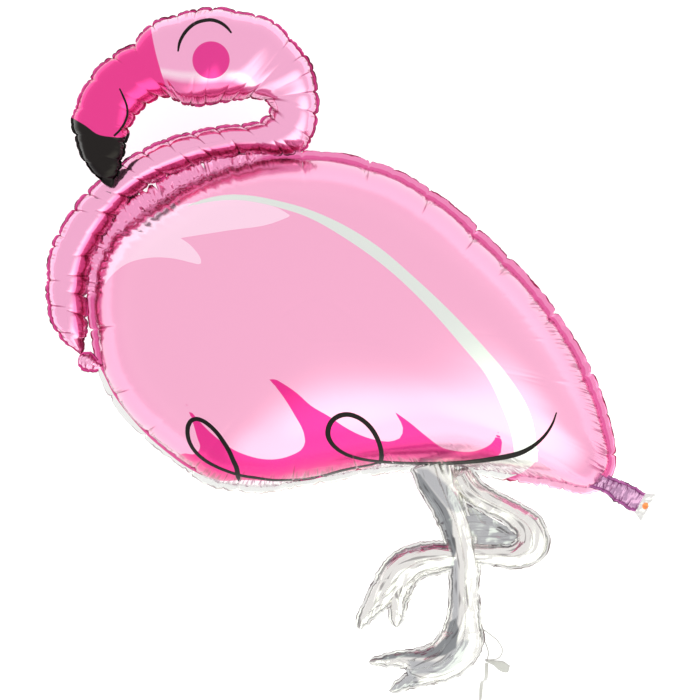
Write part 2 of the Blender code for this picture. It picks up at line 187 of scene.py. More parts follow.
def ribbon_band(route, twist, width, thickness):
    """A flat band along a route: a four-cornered section whose width direction turns by twist from
    level towards upright."""
    along = unit(np.gradient(route, axis=0))
    side = unit(np.cross(along, np.array([0.0, 0.0, 1.0])))
    up = np.cross(side, along)
    wide = np.cos(twist)[:, None] * side + np.sin(twist)[:, None] * up
    thin = np.cross(along, wide)
    corners = np.array([(1, 1), (0, 1.4), (-1, 1), (-1, -1), (0, -1.4), (1, -1)], float)
    corners *= (0.5 * width, 0.5 * thickness)
    points = route[:, None] + corners[None, :, :1] * wide[:, None] + corners[None, :, 1:] * thin[:, None]
    faces = [*grid_faces(len(route), 6, wrap_columns=True), range(5, -1, -1),
             range(6 * len(route) - 6, 6 * len(route))]
    fields = {"lengthwise": np.repeat(np.linspace(0, 1, len(route)), 6) * route_length(route),
              "crosswise": np.tile(corners[:, 0], len(route))}
    return points, faces, fields


def route_length(route):
    """The sum of the distances between a route's points."""
    return float(np.linalg.norm(np.diff(route, axis=0), axis=1).sum())


knot_at = place(KNOT[0], KNOT[1])
run_points = np.array([(-knot_at[1] + KNOT_RADIUS + GAP + d, h) for d, h in RUN])
run_curve = smooth(np.column_stack([run_points[:, 0], SEAM_Z * run_points[:, 1]]), 60)
run_start, run_end = run_curve[0, 0], run_curve[-1, 0]
run_share = (run_curve[:, 0] - run_start) / (run_end - run_start)
run_twist = 0.5 * math.pi * ease((run_share - 0.55) / 0.45)
floor_height = GAP + 0.5 * RIBBON_WIDTH * np.sin(run_twist)
run_height = np.maximum(run_curve[:, 1] - RUN_LOWEST, 0.0) * 1.02 + floor_height
coil_reach = math.sqrt(COIL_CLEAR_RADIUS**2 - (COIL_MIDDLE_RADIUS - 0.5 * RIBBON_WIDTH) ** 2)
coil_middle = np.array([knot_at[0] + COIL_MIDDLE_RADIUS, -run_end - coil_reach])
lead_share = np.linspace(0.0, 1.0, 9)[1:-1]
side_step = COIL_OUTER - COIL_MIDDLE_RADIUS
run_x = knot_at[0] - side_step * ease((run_curve[:, 0] + BEND_LENGTH - run_end) / (BEND_LENGTH + coil_reach))
lead_y = -run_end - coil_reach * lead_share
lead_x = knot_at[0] - side_step * ease((BEND_LENGTH + coil_reach * lead_share) / (BEND_LENGTH + coil_reach))
turn = np.linspace(0.0, 2.0 * math.pi * COIL_TURNS, int(40 * COIL_TURNS))
turn_radius = COIL_OUTER - COIL_PITCH * turn / (2.0 * math.pi)
coil_route = np.stack([coil_middle[0] - turn_radius * np.cos(turn),
                       coil_middle[1] - turn_radius * np.sin(turn),
                       np.full(len(turn), GAP + 0.5 * RIBBON_WIDTH)], axis=1)
ribbon_route = np.vstack([
    np.stack([run_x, -run_curve[:, 0], run_height], axis=1),
    np.stack([lead_x, lead_y, np.full(len(lead_x), floor_height[-1])], axis=1),
    coil_route,
])
ribbon_twist = np.concatenate([run_twist, np.full(len(ribbon_route) - len(run_twist), 0.5 * math.pi)])

# Woven polypropylene: a soft satin sheen, with fine threads that run along it
ribbon_cloth, tree, shader = new_material(
    "white woven polypropylene ribbon", Roughness=0.34, Specular_IOR_Level=0.5, Coat_Weight=0.15,
    Coat_Roughness=0.3, Sheen_Weight=0.2, Transmission_Weight=0.18)
across = add(tree, "ShaderNodeAttribute", attribute_name="crosswise")
along = add(tree, "ShaderNodeAttribute", attribute_name="lengthwise")
threads = add(tree, "ShaderNodeMath", [(0, across.outputs["Fac"])], operation="MULTIPLY",
              in_1=2.0 * math.pi / WEAVE_PITCH)
threads = add(tree, "ShaderNodeMath", [(0, threads.outputs[0])], operation="SINE")
crimps = add(tree, "ShaderNodeMath", [(0, along.outputs["Fac"])], operation="MULTIPLY",
             in_1=math.pi / WEAVE_PITCH)
crimps = add(tree, "ShaderNodeMath", [(0, crimps.outputs[0])], operation="SINE")
weave = add(tree, "ShaderNodeMath", [(0, threads.outputs[0]), (1, crimps.outputs[0])], operation="ADD")
shade = add(tree, "ShaderNodeMapRange", [(0, weave.outputs[0])], in_1=-2.0, in_2=2.0)
tint = add(tree, "ShaderNodeMix", [(0, shade.outputs[0])], data_type="RGBA",
           in_6=linear("#b4b1ae"), in_7=linear("#d3d0cd"))
relief = add(tree, "ShaderNodeBump", [("Height", weave.outputs[0])])
relief.inputs["Strength"].default_value = 0.35
relief.inputs["Distance"].default_value = 0.00008
tree.links.new(tint.outputs[2], shader.inputs["Base Color"])
tree.links.new(relief.outputs[0], shader.inputs["Normal"])

band_points, band_faces, band_fields = ribbon_band(
    ribbon_route, ribbon_twist, RIBBON_WIDTH, RIBBON_THICKNESS)
ribbon = new_piece("ribbon", band_points, band_faces, ribbon_cloth, ("ribbon_run", "ribbon_coil"),
                   band_fields, smooth_faces=False)

# Ribbon's knot and loop
# The ribbon goes up through a hole punched in the weld, round to the knot and back under the foot;
# a short cut end stands out of the knot. It is pulled narrow in the loop and opens out at the end.
LOOP = [
    (482.2, 629, 0.0), (483.4, 629.5, 0.003), (490, 634, 0.006), (498, 641, 0.008), (502, 651, 0.008),
    (498, 657.5, 0.007), (491, 659, 0.006), (487.4, 659, 0.0045), (488.6, 654, 0.001),
    (487.0, 647, -0.003), (484, 639, -0.0045), (482.4, 631, -0.0035),
]
LOOSE_END = [
    (487, 660.3, 1.4, 0.0045), (494.5, 662.5, 2.8, 0.0045), (501, 665.5, 5.0, 0.0010),
    (506, 668.5, 4.6, -0.003), (509.5, 669.5, 3.6, -0.006),
]
section_turn = np.linspace(0.0, 2.0 * math.pi, 10, endpoint=False)


def closed_band(route, upright, half_wide, half_thin, on_edge=False):
    """An oval section round a closed route: its wide way lies level, or stands up when it is on edge."""
    along = unit(np.roll(route, -1, axis=0) - np.roll(route, 1, axis=0))
    side = unit(np.cross(along, np.array(upright)))
    up = np.cross(side, along)
    wide, thin = (up, side) if on_edge else (side, up)
    return (route[:, None] + half_wide * np.cos(section_turn)[None, :, None] * wide[:, None]
            + half_thin * np.sin(section_turn)[None, :, None] * thin[:, None])


loop_line = smooth(LOOP, 110, closed=True)
loop_route = np.column_stack([place(loop_line[:, 0], loop_line[:, 1]), SEAM_Z + loop_line[:, 2]])
loop_points = closed_band(loop_route, (0.1, 0.2, 1.0), 0.00085, 0.00045)
loop_faces = grid_faces(len(loop_route), 10, wrap_rows=True, wrap_columns=True)

# The knot's ribbon follows an overhand knot: x = sin t + 2 sin 2t, y = cos t - 2 cos 2t, z = -sin 3t,
# drawn a fifth taller
t = np.linspace(0.0, 2.0 * math.pi, 120, endpoint=False)
overhand = np.stack([np.sin(t) + 2 * np.sin(2 * t), np.cos(t) - 2 * np.cos(2 * t), -1.2 * np.sin(3 * t)],
                    axis=1)
knot_route = np.array([*knot_at, SEAM_Z + KNOT[2]]) + overhand * 0.00078
knot_points = closed_band(knot_route, (0.0, 0.0, 1.0), 0.00085, 0.00055, on_edge=True)
knot_faces = grid_faces(len(knot_route), 10, wrap_rows=True, wrap_columns=True) + loop_points.size // 3

end_line = smooth(LOOSE_END, 40)
end_route = np.column_stack([place(end_line[:, 0], end_line[:, 1]), SEAM_Z + end_line[:, 3]])
end_along = unit(np.gradient(end_route, axis=0))
end_side = unit(np.cross(end_along, np.array([0.0, 0.0, 1.0])))
across_share = np.linspace(-1.0, 1.0, 7)
cupped = 0.0006 * (1.0 - across_share**2)
end_half = end_line[:, 2][:, None, None]
end_flat = end_route[:, None] + across_share[None, :, None] * end_side[:, None] * end_half * ROW
end_flat[..., 2] += cupped[None]
half_up = np.array([0.0, 0.0, 0.5 * RIBBON_THICKNESS])
end_points = np.concatenate([end_flat + half_up, end_flat[:, ::-1] - half_up], axis=1)
end_faces = grid_faces(len(end_route), 14, wrap_columns=True)
end_start = (loop_points.size + knot_points.size) // 3
end_caps = [range(end_start + 13, end_start - 1, -1), range(end_start + 14 * 39, end_start + 14 * 40)]
knot_all = np.vstack([loop_points.reshape(-1, 3), knot_points.reshape(-1, 3), end_points.reshape(-1, 3)])
bar_across = np.tile(0.0008 * np.cos(section_turn), len(loop_route) + len(knot_route))
end_across = np.tile(np.concatenate([across_share, across_share[::-1]]) * 0.0025, len(end_route))
knot_fields = {"lengthwise": np.linspace(0.0, 0.3, len(knot_all)),
               "crosswise": np.concatenate([bar_across, end_across])}
knot = new_piece("ribbon_tied_end", knot_all, [*loop_faces, *knot_faces, *(end_faces + end_start), *end_caps],
                 ribbon_cloth, ("ribbon_knot",), knot_fields)

# Belly
# Two sheets of printed, metallised polyester film, welded round their edge and inflated. The slack
# of the flat outline gathers into creases that run in from the weld and die out up the side.
HALF_THICKNESS = 0.142
BELLY_FULLNESS = 2.4
TAIL_TAPER = 0.4
TAIL_ANGLE = math.radians(-30)
TAIL_SPREAD = math.radians(34)
FILM = 0.00018
BELLY_POLE = place(325.0, 321.0)
BELLY_SPOKES = 900
ROUNDNESS = 5.0
ROUNDING_POWER = 3.0
BELLY_RINGS_UP = 66
BELLY_RINGS_DOWN = 36
PUFF_OUT = 1.3
AT_POLE = 200.0
# What the fields hold where no print, crease or weld edge is near
NO_PRINT = -30.0
NO_CREASE = 30.0
OFF_EDGE = 9.0
BELLY_EDGE = [
    (89, 300), (92, 268), (107, 236), (140, 207), (189, 175.5), (245, 156), (300, 151),
    (350, 156), (400, 172), (446, 200), (491, 240), (532, 281), (568, 328), (594, 376),
    (610, 425), (616, 466), (598, 490), (545, 486), (480, 475), (395, 472), (330, 481),
    (255, 492), (212, 486), (168, 457), (128, 421), (104, 385), (93, 345),
]
BELLY_CREASES = [(301, 151), (371, 162), (430, 190), (478, 229), (507, 258), (556, 312), (592, 372),
                 (614, 455), (541, 486), (442, 473), (360, 477), (296, 487), (238, 490), (190, 474),
                 (143, 436), (110, 396), (90, 330), (90, 282), (118, 222), (160, 192), (205, 169),
                 (250, 155)]
# The long creases lean most beside this place on the edge, and less with the distance along the weld
SLANT_AT = (548, 300)
SLANT = 0.26
SLANT_REACH = 170.0
# Each: column and row on the edge, the weld's width inside the edge, and how far it goes on outside
# it, in rows; it is widest under the neck, where the two chambers share one crinkled weld
WELD_WIDTHS = [
    (89, 300, 6.3, 1), (90, 284, 6.3, 3), (95, 258, 6.3, 7), (107, 236, 6.3, 11), (124, 219, 6.3, 13),
    (140, 207, 6.3, 14.5), (164, 190, 6.3, 13), (189, 175.5, 6.3, 11.5), (215, 165, 6.5, 8.5),
    (245, 156, 7, 5), (285, 152, 8, 3), (308, 151, 8.5, 0), (400, 172, 9, 0), (532, 281, 9.5, 0),
    (594, 376, 9.5, 0), (616, 466, 8.5, 0), (598, 490, 7, 0), (480, 475, 6.3, 0), (330, 481, 6.3, 0),
    (212, 486, 6.3, 0), (104, 385, 6.3, 0),
]
# Each: where a crumpled stretch of the weld starts and ends, its depth and reach in rows, and the
# distance from fold to fold along the weld
CRUMPLES = [
    ((91, 276), (262, 153), 2.2, 46.0, 5.5),
    ((590, 490), (372, 474), 1.2, 34.0, 5.0),
    ((340, 480), (130, 422), 0.7, 24.0, 6.0),
]


def scattered(length, spacing, jitter, seed):
    """Positions from before the start to past the end of a weld, spacing apart on average."""
    chance = np.random.default_rng(seed)
    steps = spacing * (1.0 + jitter * (chance.random(int(length / spacing) + 8) - 0.5))
    return np.cumsum(steps) - 2.0 * spacing


def creases(at, depth, reach, seed, spread=0.6, lean=0.25, sharp=0.4):
    """Creases at given places along a weld: each has its own depth, reach inwards and lean."""
    chance = np.random.default_rng(seed)
    vary = 1.0 + spread * (chance.random((3, len(at))) - 0.5) * 2.0
    return {"at": np.sort(np.asarray(at, float)), "depth": depth * vary[0], "reach": reach * vary[1],
            "lean": lean * (vary[2] - 1.0) / max(spread, 1e-6), "sharp": sharp}


def round_weld(table, length):
    """The same creases repeated before the start and past the end of a closed weld."""
    keys = ("at", "depth", "reach", "lean")
    inside = (table["at"] >= 0.0) & (table["at"] < length)
    parts = {k: table[k][inside] for k in keys}
    return {**{k: np.concatenate([parts[k] - (length if k == "at" else 0.0), parts[k],
                                  parts[k] + (length if k == "at" else 0.0)]) for k in keys},
            "sharp": table["sharp"]}


def sink(along_weld, inwards, tables):
    """How far the film sinks, in rows, at a distance along the weld and inwards from it. Between two
    creases it stands up as a half sine to the power 0.5, round on top and sharp at the creases, and
    the difference fades with the distance inwards to the power 1.5 over each crease's reach."""
    total = np.zeros(np.broadcast(along_weld, inwards).shape)
    for table in tables:
        s = along_weld + inwards * np.interp(along_weld, table["at"], table["lean"])
        k = np.clip(np.searchsorted(table["at"], s) - 1, 0, len(table["at"]) - 2)
        gap = table["at"][k + 1] - table["at"][k]
        share = np.clip((s - table["at"][k]) / gap, 0.0, 1.0)
        near = np.where(share < 0.5, k, k + 1)
        away = np.minimum(share, 1.0 - share) * gap
        broad = 1.0 - np.sqrt(np.sin(math.pi * share))
        narrow = np.exp(-away / 1.3)
        share_in = np.maximum(inwards, 0.0) / table["reach"][near]
        valley = ((1.0 - table["sharp"]) * broad * np.exp(-share_in**1.5)
                  + table["sharp"] * narrow * np.exp(-(1.7 * share_in) ** 1.5))
        total += table["depth"][near] * valley
    return total * (0.8 + 0.2 * (1.0 - np.exp(-np.maximum(inwards, 0.0) / 3.0)))


def crease_way(along_weld, inwards, table):
    """Rows to the nearest crease, with a sign that turns only at a crease, as the half sine of the gap
    between two creases; and the distance inwards as a share of that crease's reach."""
    s = along_weld + inwards * np.interp(along_weld, table["at"], table["lean"])
    k = np.clip(np.searchsorted(table["at"], s) - 1, 0, len(table["at"]) - 2)
    gap = table["at"][k + 1] - table["at"][k]
    share = np.clip((s - table["at"][k]) / gap, 0.0, 1.0)
    way = np.where(k % 2, -1.0, 1.0) * gap / math.pi * np.sin(math.pi * share)
    return way, np.maximum(inwards, 0.0) / table["reach"][np.where(share < 0.5, k, k + 1)]


def ripple(x, y, seed):
    """Smooth noise from -1 to 1 over two coordinates: random values on a unit lattice, eased between."""
    lattice = np.random.default_rng(seed).random((64, 64)) * 2.0 - 1.0
    column, row = np.floor(x).astype(int), np.floor(y).astype(int)
    across, up = ease(x - column), ease(y - row)
    corners = [lattice[(column + i) % 64, (row + j) % 64] for i, j in ((0, 0), (1, 0), (0, 1), (1, 1))]
    low = corners[0] + (corners[1] - corners[0]) * across
    return low + (corners[2] + (corners[3] - corners[2]) * across - low) * up


def folded(x, y, seed):
    """Crumpled film from 0 to 1: sharp valleys, of value 1, where a smooth noise changes its sign."""
    mixed = 0.7 * ripple(x, y, seed) + 0.3 * ripple(2.1 * x, 2.1 * y, seed + 1)
    return 1.0 - np.minimum(np.abs(mixed) * 1.9, 1.0)


belly_edge_line = smooth(BELLY_EDGE, BELLY_SPOKES, closed=True)
belly_edge = place(belly_edge_line[:, 0], belly_edge_line[:, 1])
edge_way = unit(np.roll(belly_edge, -1, axis=0) - np.roll(belly_edge, 1, axis=0))
edge_out = np.stack([-edge_way[:, 1], edge_way[:, 0]], axis=1)
weld_places = place(*np.array(WELD_WIDTHS, float).T[:2])
weld_spokes = np.argmin(np.linalg.norm(belly_edge[None] - weld_places[:, None], axis=2), axis=1)
weld_in, weld_out = (np.interp(np.arange(BELLY_SPOKES), weld_spokes, [w[k] for w in WELD_WIDTHS],
                               period=BELLY_SPOKES) * ROW for k in (2, 3))
belly_seam = belly_edge - weld_in[:, None] * edge_out
waves = np.abs(np.fft.fftfreq(BELLY_SPOKES, 1.0 / BELLY_SPOKES))
belly_round = np.fft.fft(belly_seam[:, 0] + 1j * belly_seam[:, 1])
belly_round = np.fft.ifft(belly_round * np.exp(-((waves / ROUNDNESS) ** 2)))
belly_round = np.stack([belly_round.real, belly_round.imag], axis=1)
seam_steps = np.linalg.norm(np.roll(belly_seam, -1, axis=0) - belly_seam, axis=1) / ROW
seam_run = np.concatenate([[0.0], np.cumsum(seam_steps)])
seam_length = seam_run[-1]
crease_place = place(*np.array(BELLY_CREASES, float).T)
crease_near = np.argmin(np.linalg.norm(belly_edge[None] - crease_place[:, None], axis=2), axis=1)
main_creases = creases(seam_run[crease_near], 3.4, 52.0, 3, 0.35, 0.06, 0.65)
slant_middle = seam_run[np.argmin(np.linalg.norm(belly_edge - place(*SLANT_AT), axis=1))]
slant_share = np.exp(-(((main_creases["at"] - slant_middle) / SLANT_REACH) ** 2))
main_creases["lean"] = main_creases["lean"] - SLANT * slant_share
belly_creases = [
    round_weld(main_creases, seam_length),
    round_weld(creases(scattered(seam_length, 14.0, 0.7, 5), 1.3, 26.0, 7, 0.8, 0.15, 0.3), seam_length),
    round_weld(creases(scattered(seam_length, 6.0, 0.8, 11), 0.35, 34.0, 13, 0.9, 0.1, 0.2), seam_length),
]
crumples = []
for first, last_place, crumple_depth, crumple_reach, crumple_cell in CRUMPLES:
    near = [np.argmin(np.linalg.norm(belly_edge - place(*spot), axis=1)) for spot in (first, last_place)]
    crumples.append((*sorted(seam_run[near]), crumple_depth, crumple_reach, crumple_cell))


def belly_base(u, ring, side):
    """The smooth belly: a spoke from the pole to the seam is drawn in by cos(ring) to the power 2/n and
    lifted by sin(ring) to the power 2/n, with n the fullness. The spokes go over from those of a
    rounded outline at the pole to the seam's own, and the belly is lower towards the tail's corner."""
    steps = np.arange(BELLY_SPOKES + 1)
    k = steps % BELLY_SPOKES
    seam, rounded = (np.stack([np.interp(u % BELLY_SPOKES, steps, line[k, j]) for j in (0, 1)], axis=-1)
                     for line in (belly_seam, belly_round))
    spoke = seam - BELLY_POLE
    heading = np.arctan2(spoke[..., 1], spoke[..., 0])
    draw, lift = np.abs(np.cos(ring)), np.abs(np.sin(ring))
    dip = TAIL_TAPER * draw**5 * np.exp(-(((heading - TAIL_ANGLE) / TAIL_SPREAD) ** 2))
    spoke = rounded - BELLY_POLE + (seam - rounded) * (draw**ROUNDING_POWER)[..., None]
    flat = BELLY_POLE + spoke * (draw ** (2.0 / BELLY_FULLNESS))[..., None]
    height = HALF_THICKNESS * lift ** (2.0 / BELLY_FULLNESS) * (1.0 - dip)
    return np.concatenate([flat, (SEAM_Z + side * height)[..., None]], axis=-1)


ring_table = np.linspace(0.0, 0.5 * math.pi, 800)
profile = np.stack([0.3 * np.cos(ring_table) ** (2.0 / BELLY_FULLNESS),
                    HALF_THICKNESS * np.sin(ring_table) ** (2.0 / BELLY_FULLNESS)], axis=1)
ring_reach = run_along(profile) / ROW


def belly_film(u, ring, side):
    """The belly with its creases: the smooth belly sunk along its own normal."""
    u, ring = np.broadcast_arrays(np.asarray(u, float), np.asarray(ring, float))
    here = belly_base(u, ring, side)
    next_u = belly_base(u + 0.5, ring, side) - belly_base(u - 0.5, ring, side)
    next_ring = belly_base(u, ring + 0.01, side) - here
    normal = unit(np.cross(next_ring, next_u)) * side
    weld_run = np.interp(u % BELLY_SPOKES, np.arange(BELLY_SPOKES + 1), seam_run)
    inwards = np.interp(ring, ring_table, ring_reach)
    rows_deep = sink(weld_run, inwards, belly_creases) - PUFF_OUT * np.exp(-inwards / 14.0)
    for first, last_run, deep, reach, cell in crumples:
        part = ease((weld_run - first) / 26.0) * ease((last_run - weld_run) / 26.0)
        fold = folded(weld_run / cell, inwards / (1.8 * reach) + 3.0, 41)
        rows_deep += part * deep * fold * np.exp(-((inwards / reach) ** 2))
    depth = rows_deep * ROW
    sunk = here - normal * depth[..., None]
    if side < 0:
        sunk[..., 2] = np.maximum(sunk[..., 2], 0.0)
    return sunk, normal, inwards, depth


def seen_at(points):
    """The picture's column and row at which the camera sees each point."""
    scale = (CAMERA_HEIGHT - SEAM_Z) / (CAMERA_HEIGHT - np.abs(points[..., 2] - SEAM_Z) - SEAM_Z) / ROW
    return np.stack([PICTURE_MIDDLE + (points[..., 0] - view_middle[0]) * scale,
                     PICTURE_MIDDLE - (points[..., 1] - view_middle[1]) * scale], axis=-1)


def outline(*runs):
    """A closed outline in the picture from smooth runs that meet in corners."""
    return np.vstack([smooth(r, max(6, 3 * len(r))) if len(r) > 2 else np.array(r, float) for r in runs])


def inside(points, corners):
    """Signed distance in rows from points to a closed outline, positive within it: the least distance
    to its segments, with the sign from the number of segments crossed to one side."""
    flat = points.reshape(-1, 2)
    corners = np.asarray(corners, float)
    best = np.full(len(flat), 1e9)
    odd = np.zeros(len(flat), bool)
    for a, b in zip(corners, np.roll(corners, -1, axis=0)):
        if np.allclose(a, b):
            continue
        edge, off = b - a, flat - a
        share = np.clip(off @ edge / (edge @ edge), 0.0, 1.0)
        best = np.minimum(best, ((off - share[:, None] * edge) ** 2).sum(1))
        if a[1] != b[1]:
            crosses = (a[1] > flat[:, 1]) != (b[1] > flat[:, 1])
            odd ^= crosses & (flat[:, 0] < a[0] + (flat[:, 1] - a[1]) * edge[0] / edge[1])
    return (np.where(odd, 1.0, -1.0) * np.sqrt(best)).reshape(points.shape[:-1])


# The film's print: a bare silver stripe, a pale highlight, a deep pink feather edge, and the bare
# silver strip along the lower weld where the print stops short
STRIPE = outline(
    [(184, 207.5), (193, 203), (212, 197), (231, 194.5), (250, 195.5), (279, 201), (300, 206.5), (338, 222),
     (376, 245), (415, 278), (453, 314), (484, 347), (509, 377), (530, 413), (537, 449), (538, 462)],
    [(538, 462), (514, 464)],
    [(514, 464), (514, 454), (512, 436), (501, 405), (486, 375), (463, 347), (427, 306), (389, 270),
     (351, 242), (300, 214), (280, 208), (260, 203), (239, 200), (215, 201), (184, 207.5)])
HIGHLIGHT = outline(
    [(291, 216), (270, 224), (231, 230), (180, 238)],
    [(180, 238), (188, 243), (195, 250), (201, 260), (201, 265)],
    [(201, 265), (189, 262), (174, 258.5), (147, 258), (126, 264), (113, 274), (103, 287), (98, 298)],
    [(98, 298), (98, 284), (104, 262), (114, 245), (130, 227), (150, 214), (185, 204), (215, 200),
     (239, 200), (260, 203), (280, 209), (291, 216)])
FEATHER = outline(
    [(175, 458), (183, 453.5), (195, 454), (200, 449), (197, 437), (193, 423), (185, 402)],
    [(185, 402), (194, 415), (202, 424), (211, 433), (222, 442), (234, 450), (246, 455), (262, 459),
     (278, 459), (292, 455), (302, 449), (305, 443), (304, 434), (294, 414), (282, 395), (262, 371)],
    [(262, 371), (298, 394), (310, 405), (330, 417), (343, 426), (360, 435), (376, 440), (393, 441),
     (401, 437), (403, 430), (395, 412)],
    [(395, 412), (409, 422), (426, 436), (443, 448), (456, 451), (469, 452), (482, 449), (492, 443),
     (498, 431)],
    [(498, 431), (502, 441), (502, 450), (497, 458), (480, 466), (440, 470), (380, 470), (300, 486),
     (240, 488), (200, 478), (175, 458)])
BARE = outline(
    [(90, 352), (102, 371), (114, 395), (129, 415), (147, 435), (169, 454), (190, 469), (207, 477),
     (223, 481), (240, 480), (272, 481), (310, 480), (340, 472), (370, 467.5), (380, 463), (409, 463),
     (443, 464), (476, 462), (501, 459), (522, 454), (539, 447)],
    [(539, 447), (535, 462), (522, 473)],
    [(522, 473), (470, 490), (400, 500), (300, 520), (150, 480), (70, 380), (80, 350), (90, 352)])

# Where the belly's rim is crumpled against the neck, and where the print on the weld is light
SHARED_WELD = outline(
    [(268, 140), (262, 158), (240, 166), (212, 175), (190, 188), (160, 204), (136, 222), (117, 243),
     (105, 266), (99, 292)],
    [(99, 292), (80, 300), (60, 240), (120, 180), (200, 140), (268, 140)])
LIGHT_WELD = outline(
    [(524, 470), (560, 478), (600, 476), (606, 482)],
    [(606, 482), (610, 505), (560, 510), (505, 500), (524, 470)])

# Where fine gathers stand close together along the weld: their length in rows, and the outline
HATCHED = [
    (16.0, [(538, 292), (566, 330), (590, 376), (606, 430), (612, 470), (585, 470), (588, 430), (570, 380),
                     (548, 336), (525, 300)]),
    (14.0, [(385, 440), (450, 446), (512, 443), (540, 455), (560, 478), (450, 478), (380, 476)]),
    (12.0, [(140, 432), (190, 462), (240, 474), (300, 468), (385, 456), (385, 478), (300, 492), (230, 494),
                     (170, 470)]),
    (10.0, [(150, 222), (140, 205), (186, 172), (240, 152), (292, 148), (292, 172), (240, 182), (190, 206)]),
]

# Rings from the seam to the pole, closest beside the seam, where the creases are narrow
ring_shares = [np.linspace(0.0, 1.0, count + 1)[:-1] ** power
               for count, power in ((BELLY_RINGS_UP, 1.6), (BELLY_RINGS_DOWN, 1.3))]
rings_up, rings_down = (np.interp(ring_reach[-1] * share, ring_reach, ring_table) for share in ring_shares)
spokes = np.arange(BELLY_SPOKES, dtype=float)
top, _, top_in, top_sink = belly_film(spokes[None], rings_up[:, None], 1.0)
low, _, low_in, low_sink = belly_film(spokes[None], rings_down[:, None], -1.0)
pole_top = belly_base(np.array([0.0]), np.array([0.5 * math.pi]), 1.0)
pole_low = np.maximum(belly_base(np.array([0.0]), np.array([0.5 * math.pi]), -1.0), (-1.0, -1.0, 0.0))

WELD_SHARES = np.array([0.12, 0.4, 0.7, 1.0])


def weld_flange(seam, outwards, width, run, sunk, lift, seed):
    """The flat weld outside a seam: rings at shares of its width. Its edge is drawn in at the creases,
    with slower and quicker waves between them, and it ripples up and down. Returns both sides' rings."""
    rows_sunk = np.maximum(sunk / ROW, 0.0)
    edge = 1.0 + 0.12 * ripple(run / 23.0, run / 41.0, seed) + 0.02 * ripple(run / 6.0, run / 11.0, seed + 3)
    edge = edge - 0.1 * rows_sunk
    wave = (0.0005 * rows_sunk + 0.0008 * ripple(run / 13.0, run / 31.0, seed + 5)
            + 0.0002 * ripple(run / 4.0, run / 9.0, seed + 7))
    rings = []
    for share in WELD_SHARES:
        flat = seam + outwards * (width * edge * share)[:, None]
        rings.append(np.column_stack([flat, SEAM_Z + lift + wave * share]))
    rings = np.array(rings)
    return rings + (0, 0, FILM), rings - (0, 0, FILM)


belly_weld = weld_in + weld_out
flange_up, flange_down = weld_flange(top[0, :, :2], edge_out, belly_weld, seam_run[:-1], top_sink[0], 0.0, 17)
belly_points = np.vstack([pole_top, top[::-1].reshape(-1, 3), flange_up.reshape(-1, 3),
                          flange_down[::-1].reshape(-1, 3), low.reshape(-1, 3), pole_low])
belly_rings = len(rings_up) + 2 * len(WELD_SHARES) + len(rings_down)
this_spoke = np.arange(BELLY_SPOKES)
next_spoke = (this_spoke + 1) % BELLY_SPOKES
fan = np.stack([np.zeros(BELLY_SPOKES, int), 1 + this_spoke, 1 + next_spoke], axis=1)
last = 1 + (belly_rings - 1) * BELLY_SPOKES
low_fan = np.stack([np.full(BELLY_SPOKES, last + BELLY_SPOKES), last + next_spoke, last + this_spoke], axis=1)
belly_faces = [*fan, *(grid_faces(belly_rings, BELLY_SPOKES, wrap_columns=True)[:, ::-1] + 1), *low_fan]
flat_out = -WELD_SHARES[:, None] * belly_weld[None] / ROW
belly_inwards = np.concatenate([
    [ring_reach[-1]], top_in[::-1].ravel(), flat_out.ravel(), flat_out[::-1].ravel(), low_in.ravel(),
    [ring_reach[-1]]])
belly_seen = seen_at(belly_points)
weld_turn = 2.0 * math.pi * seam_run[:-1] / seam_length
weld_circle = seam_length / (2.0 * math.pi)
gather = np.stack([np.tile(weld_circle * np.cos(weld_turn), belly_rings),
                   np.tile(weld_circle * np.sin(weld_turn), belly_rings), belly_inwards[1:-1]], axis=1)
gather = np.vstack([[0, 0, belly_inwards[0]], gather, [0, 0, belly_inwards[-1]]])
belly_fields = {"stripe": inside(belly_seen, STRIPE), "highlight": inside(belly_seen, HIGHLIGHT),
                "feather": inside(belly_seen, FEATHER), "bare": inside(belly_seen, BARE),
                "shared_weld": inside(belly_seen, SHARED_WELD), "light_weld": inside(belly_seen, LIGHT_WELD),
                "inwards": belly_inwards, "gather": gather}
belly_run = np.concatenate([[0.0], np.tile(seam_run[:-1], belly_rings), [0.0]])
belly_fields["crease_way"], _ = crease_way(belly_run, belly_inwards, belly_creases[0])
spoke_length = np.tile(np.linalg.norm(belly_seam - BELLY_POLE, axis=1) / ROW, (belly_rings, 1))
ring_angles = np.concatenate([rings_up[::-1], np.zeros(2 * len(WELD_SHARES)), rings_down])
ring_draw = 1.0 - np.cos(ring_angles) ** (2.0 / BELLY_FULLNESS)
plan_in = np.concatenate([[AT_POLE], (spoke_length * ring_draw[:, None]).ravel(), [AT_POLE]])
line_length = 17.0 + 6.0 * ripple(belly_run / 61.0, 3.0 + 0.0 * belly_run, 51)
belly_fields["crease_end"] = plan_in / line_length
belly_fields["plan_in"] = plan_in
hatch_length = 11.0 * np.exp(-((belly_fields["crease_way"] / 7.0) ** 2))
for length, corners in HATCHED:
    hatch_length = np.maximum(hatch_length, length * ease((inside(belly_seen, corners) + 5.0) / 9.0))
hatch_length = 2.0 + hatch_length * (1.0 + 0.35 * ripple(belly_run / 7.0, 5.0 + 0.0 * belly_run, 53))
belly_fields["hatch"] = 1.0 - ease((plan_in / hatch_length - 0.35) / 0.65)
edge_rings = (1.0 - WELD_SHARES)[:, None] * belly_weld[None] / ROW
belly_fields["edge"] = np.concatenate([
    np.full(top_in.size + 1, OFF_EDGE), edge_rings.ravel(), edge_rings[::-1].ravel(),
    np.full(low_in.size + 1, OFF_EDGE)])

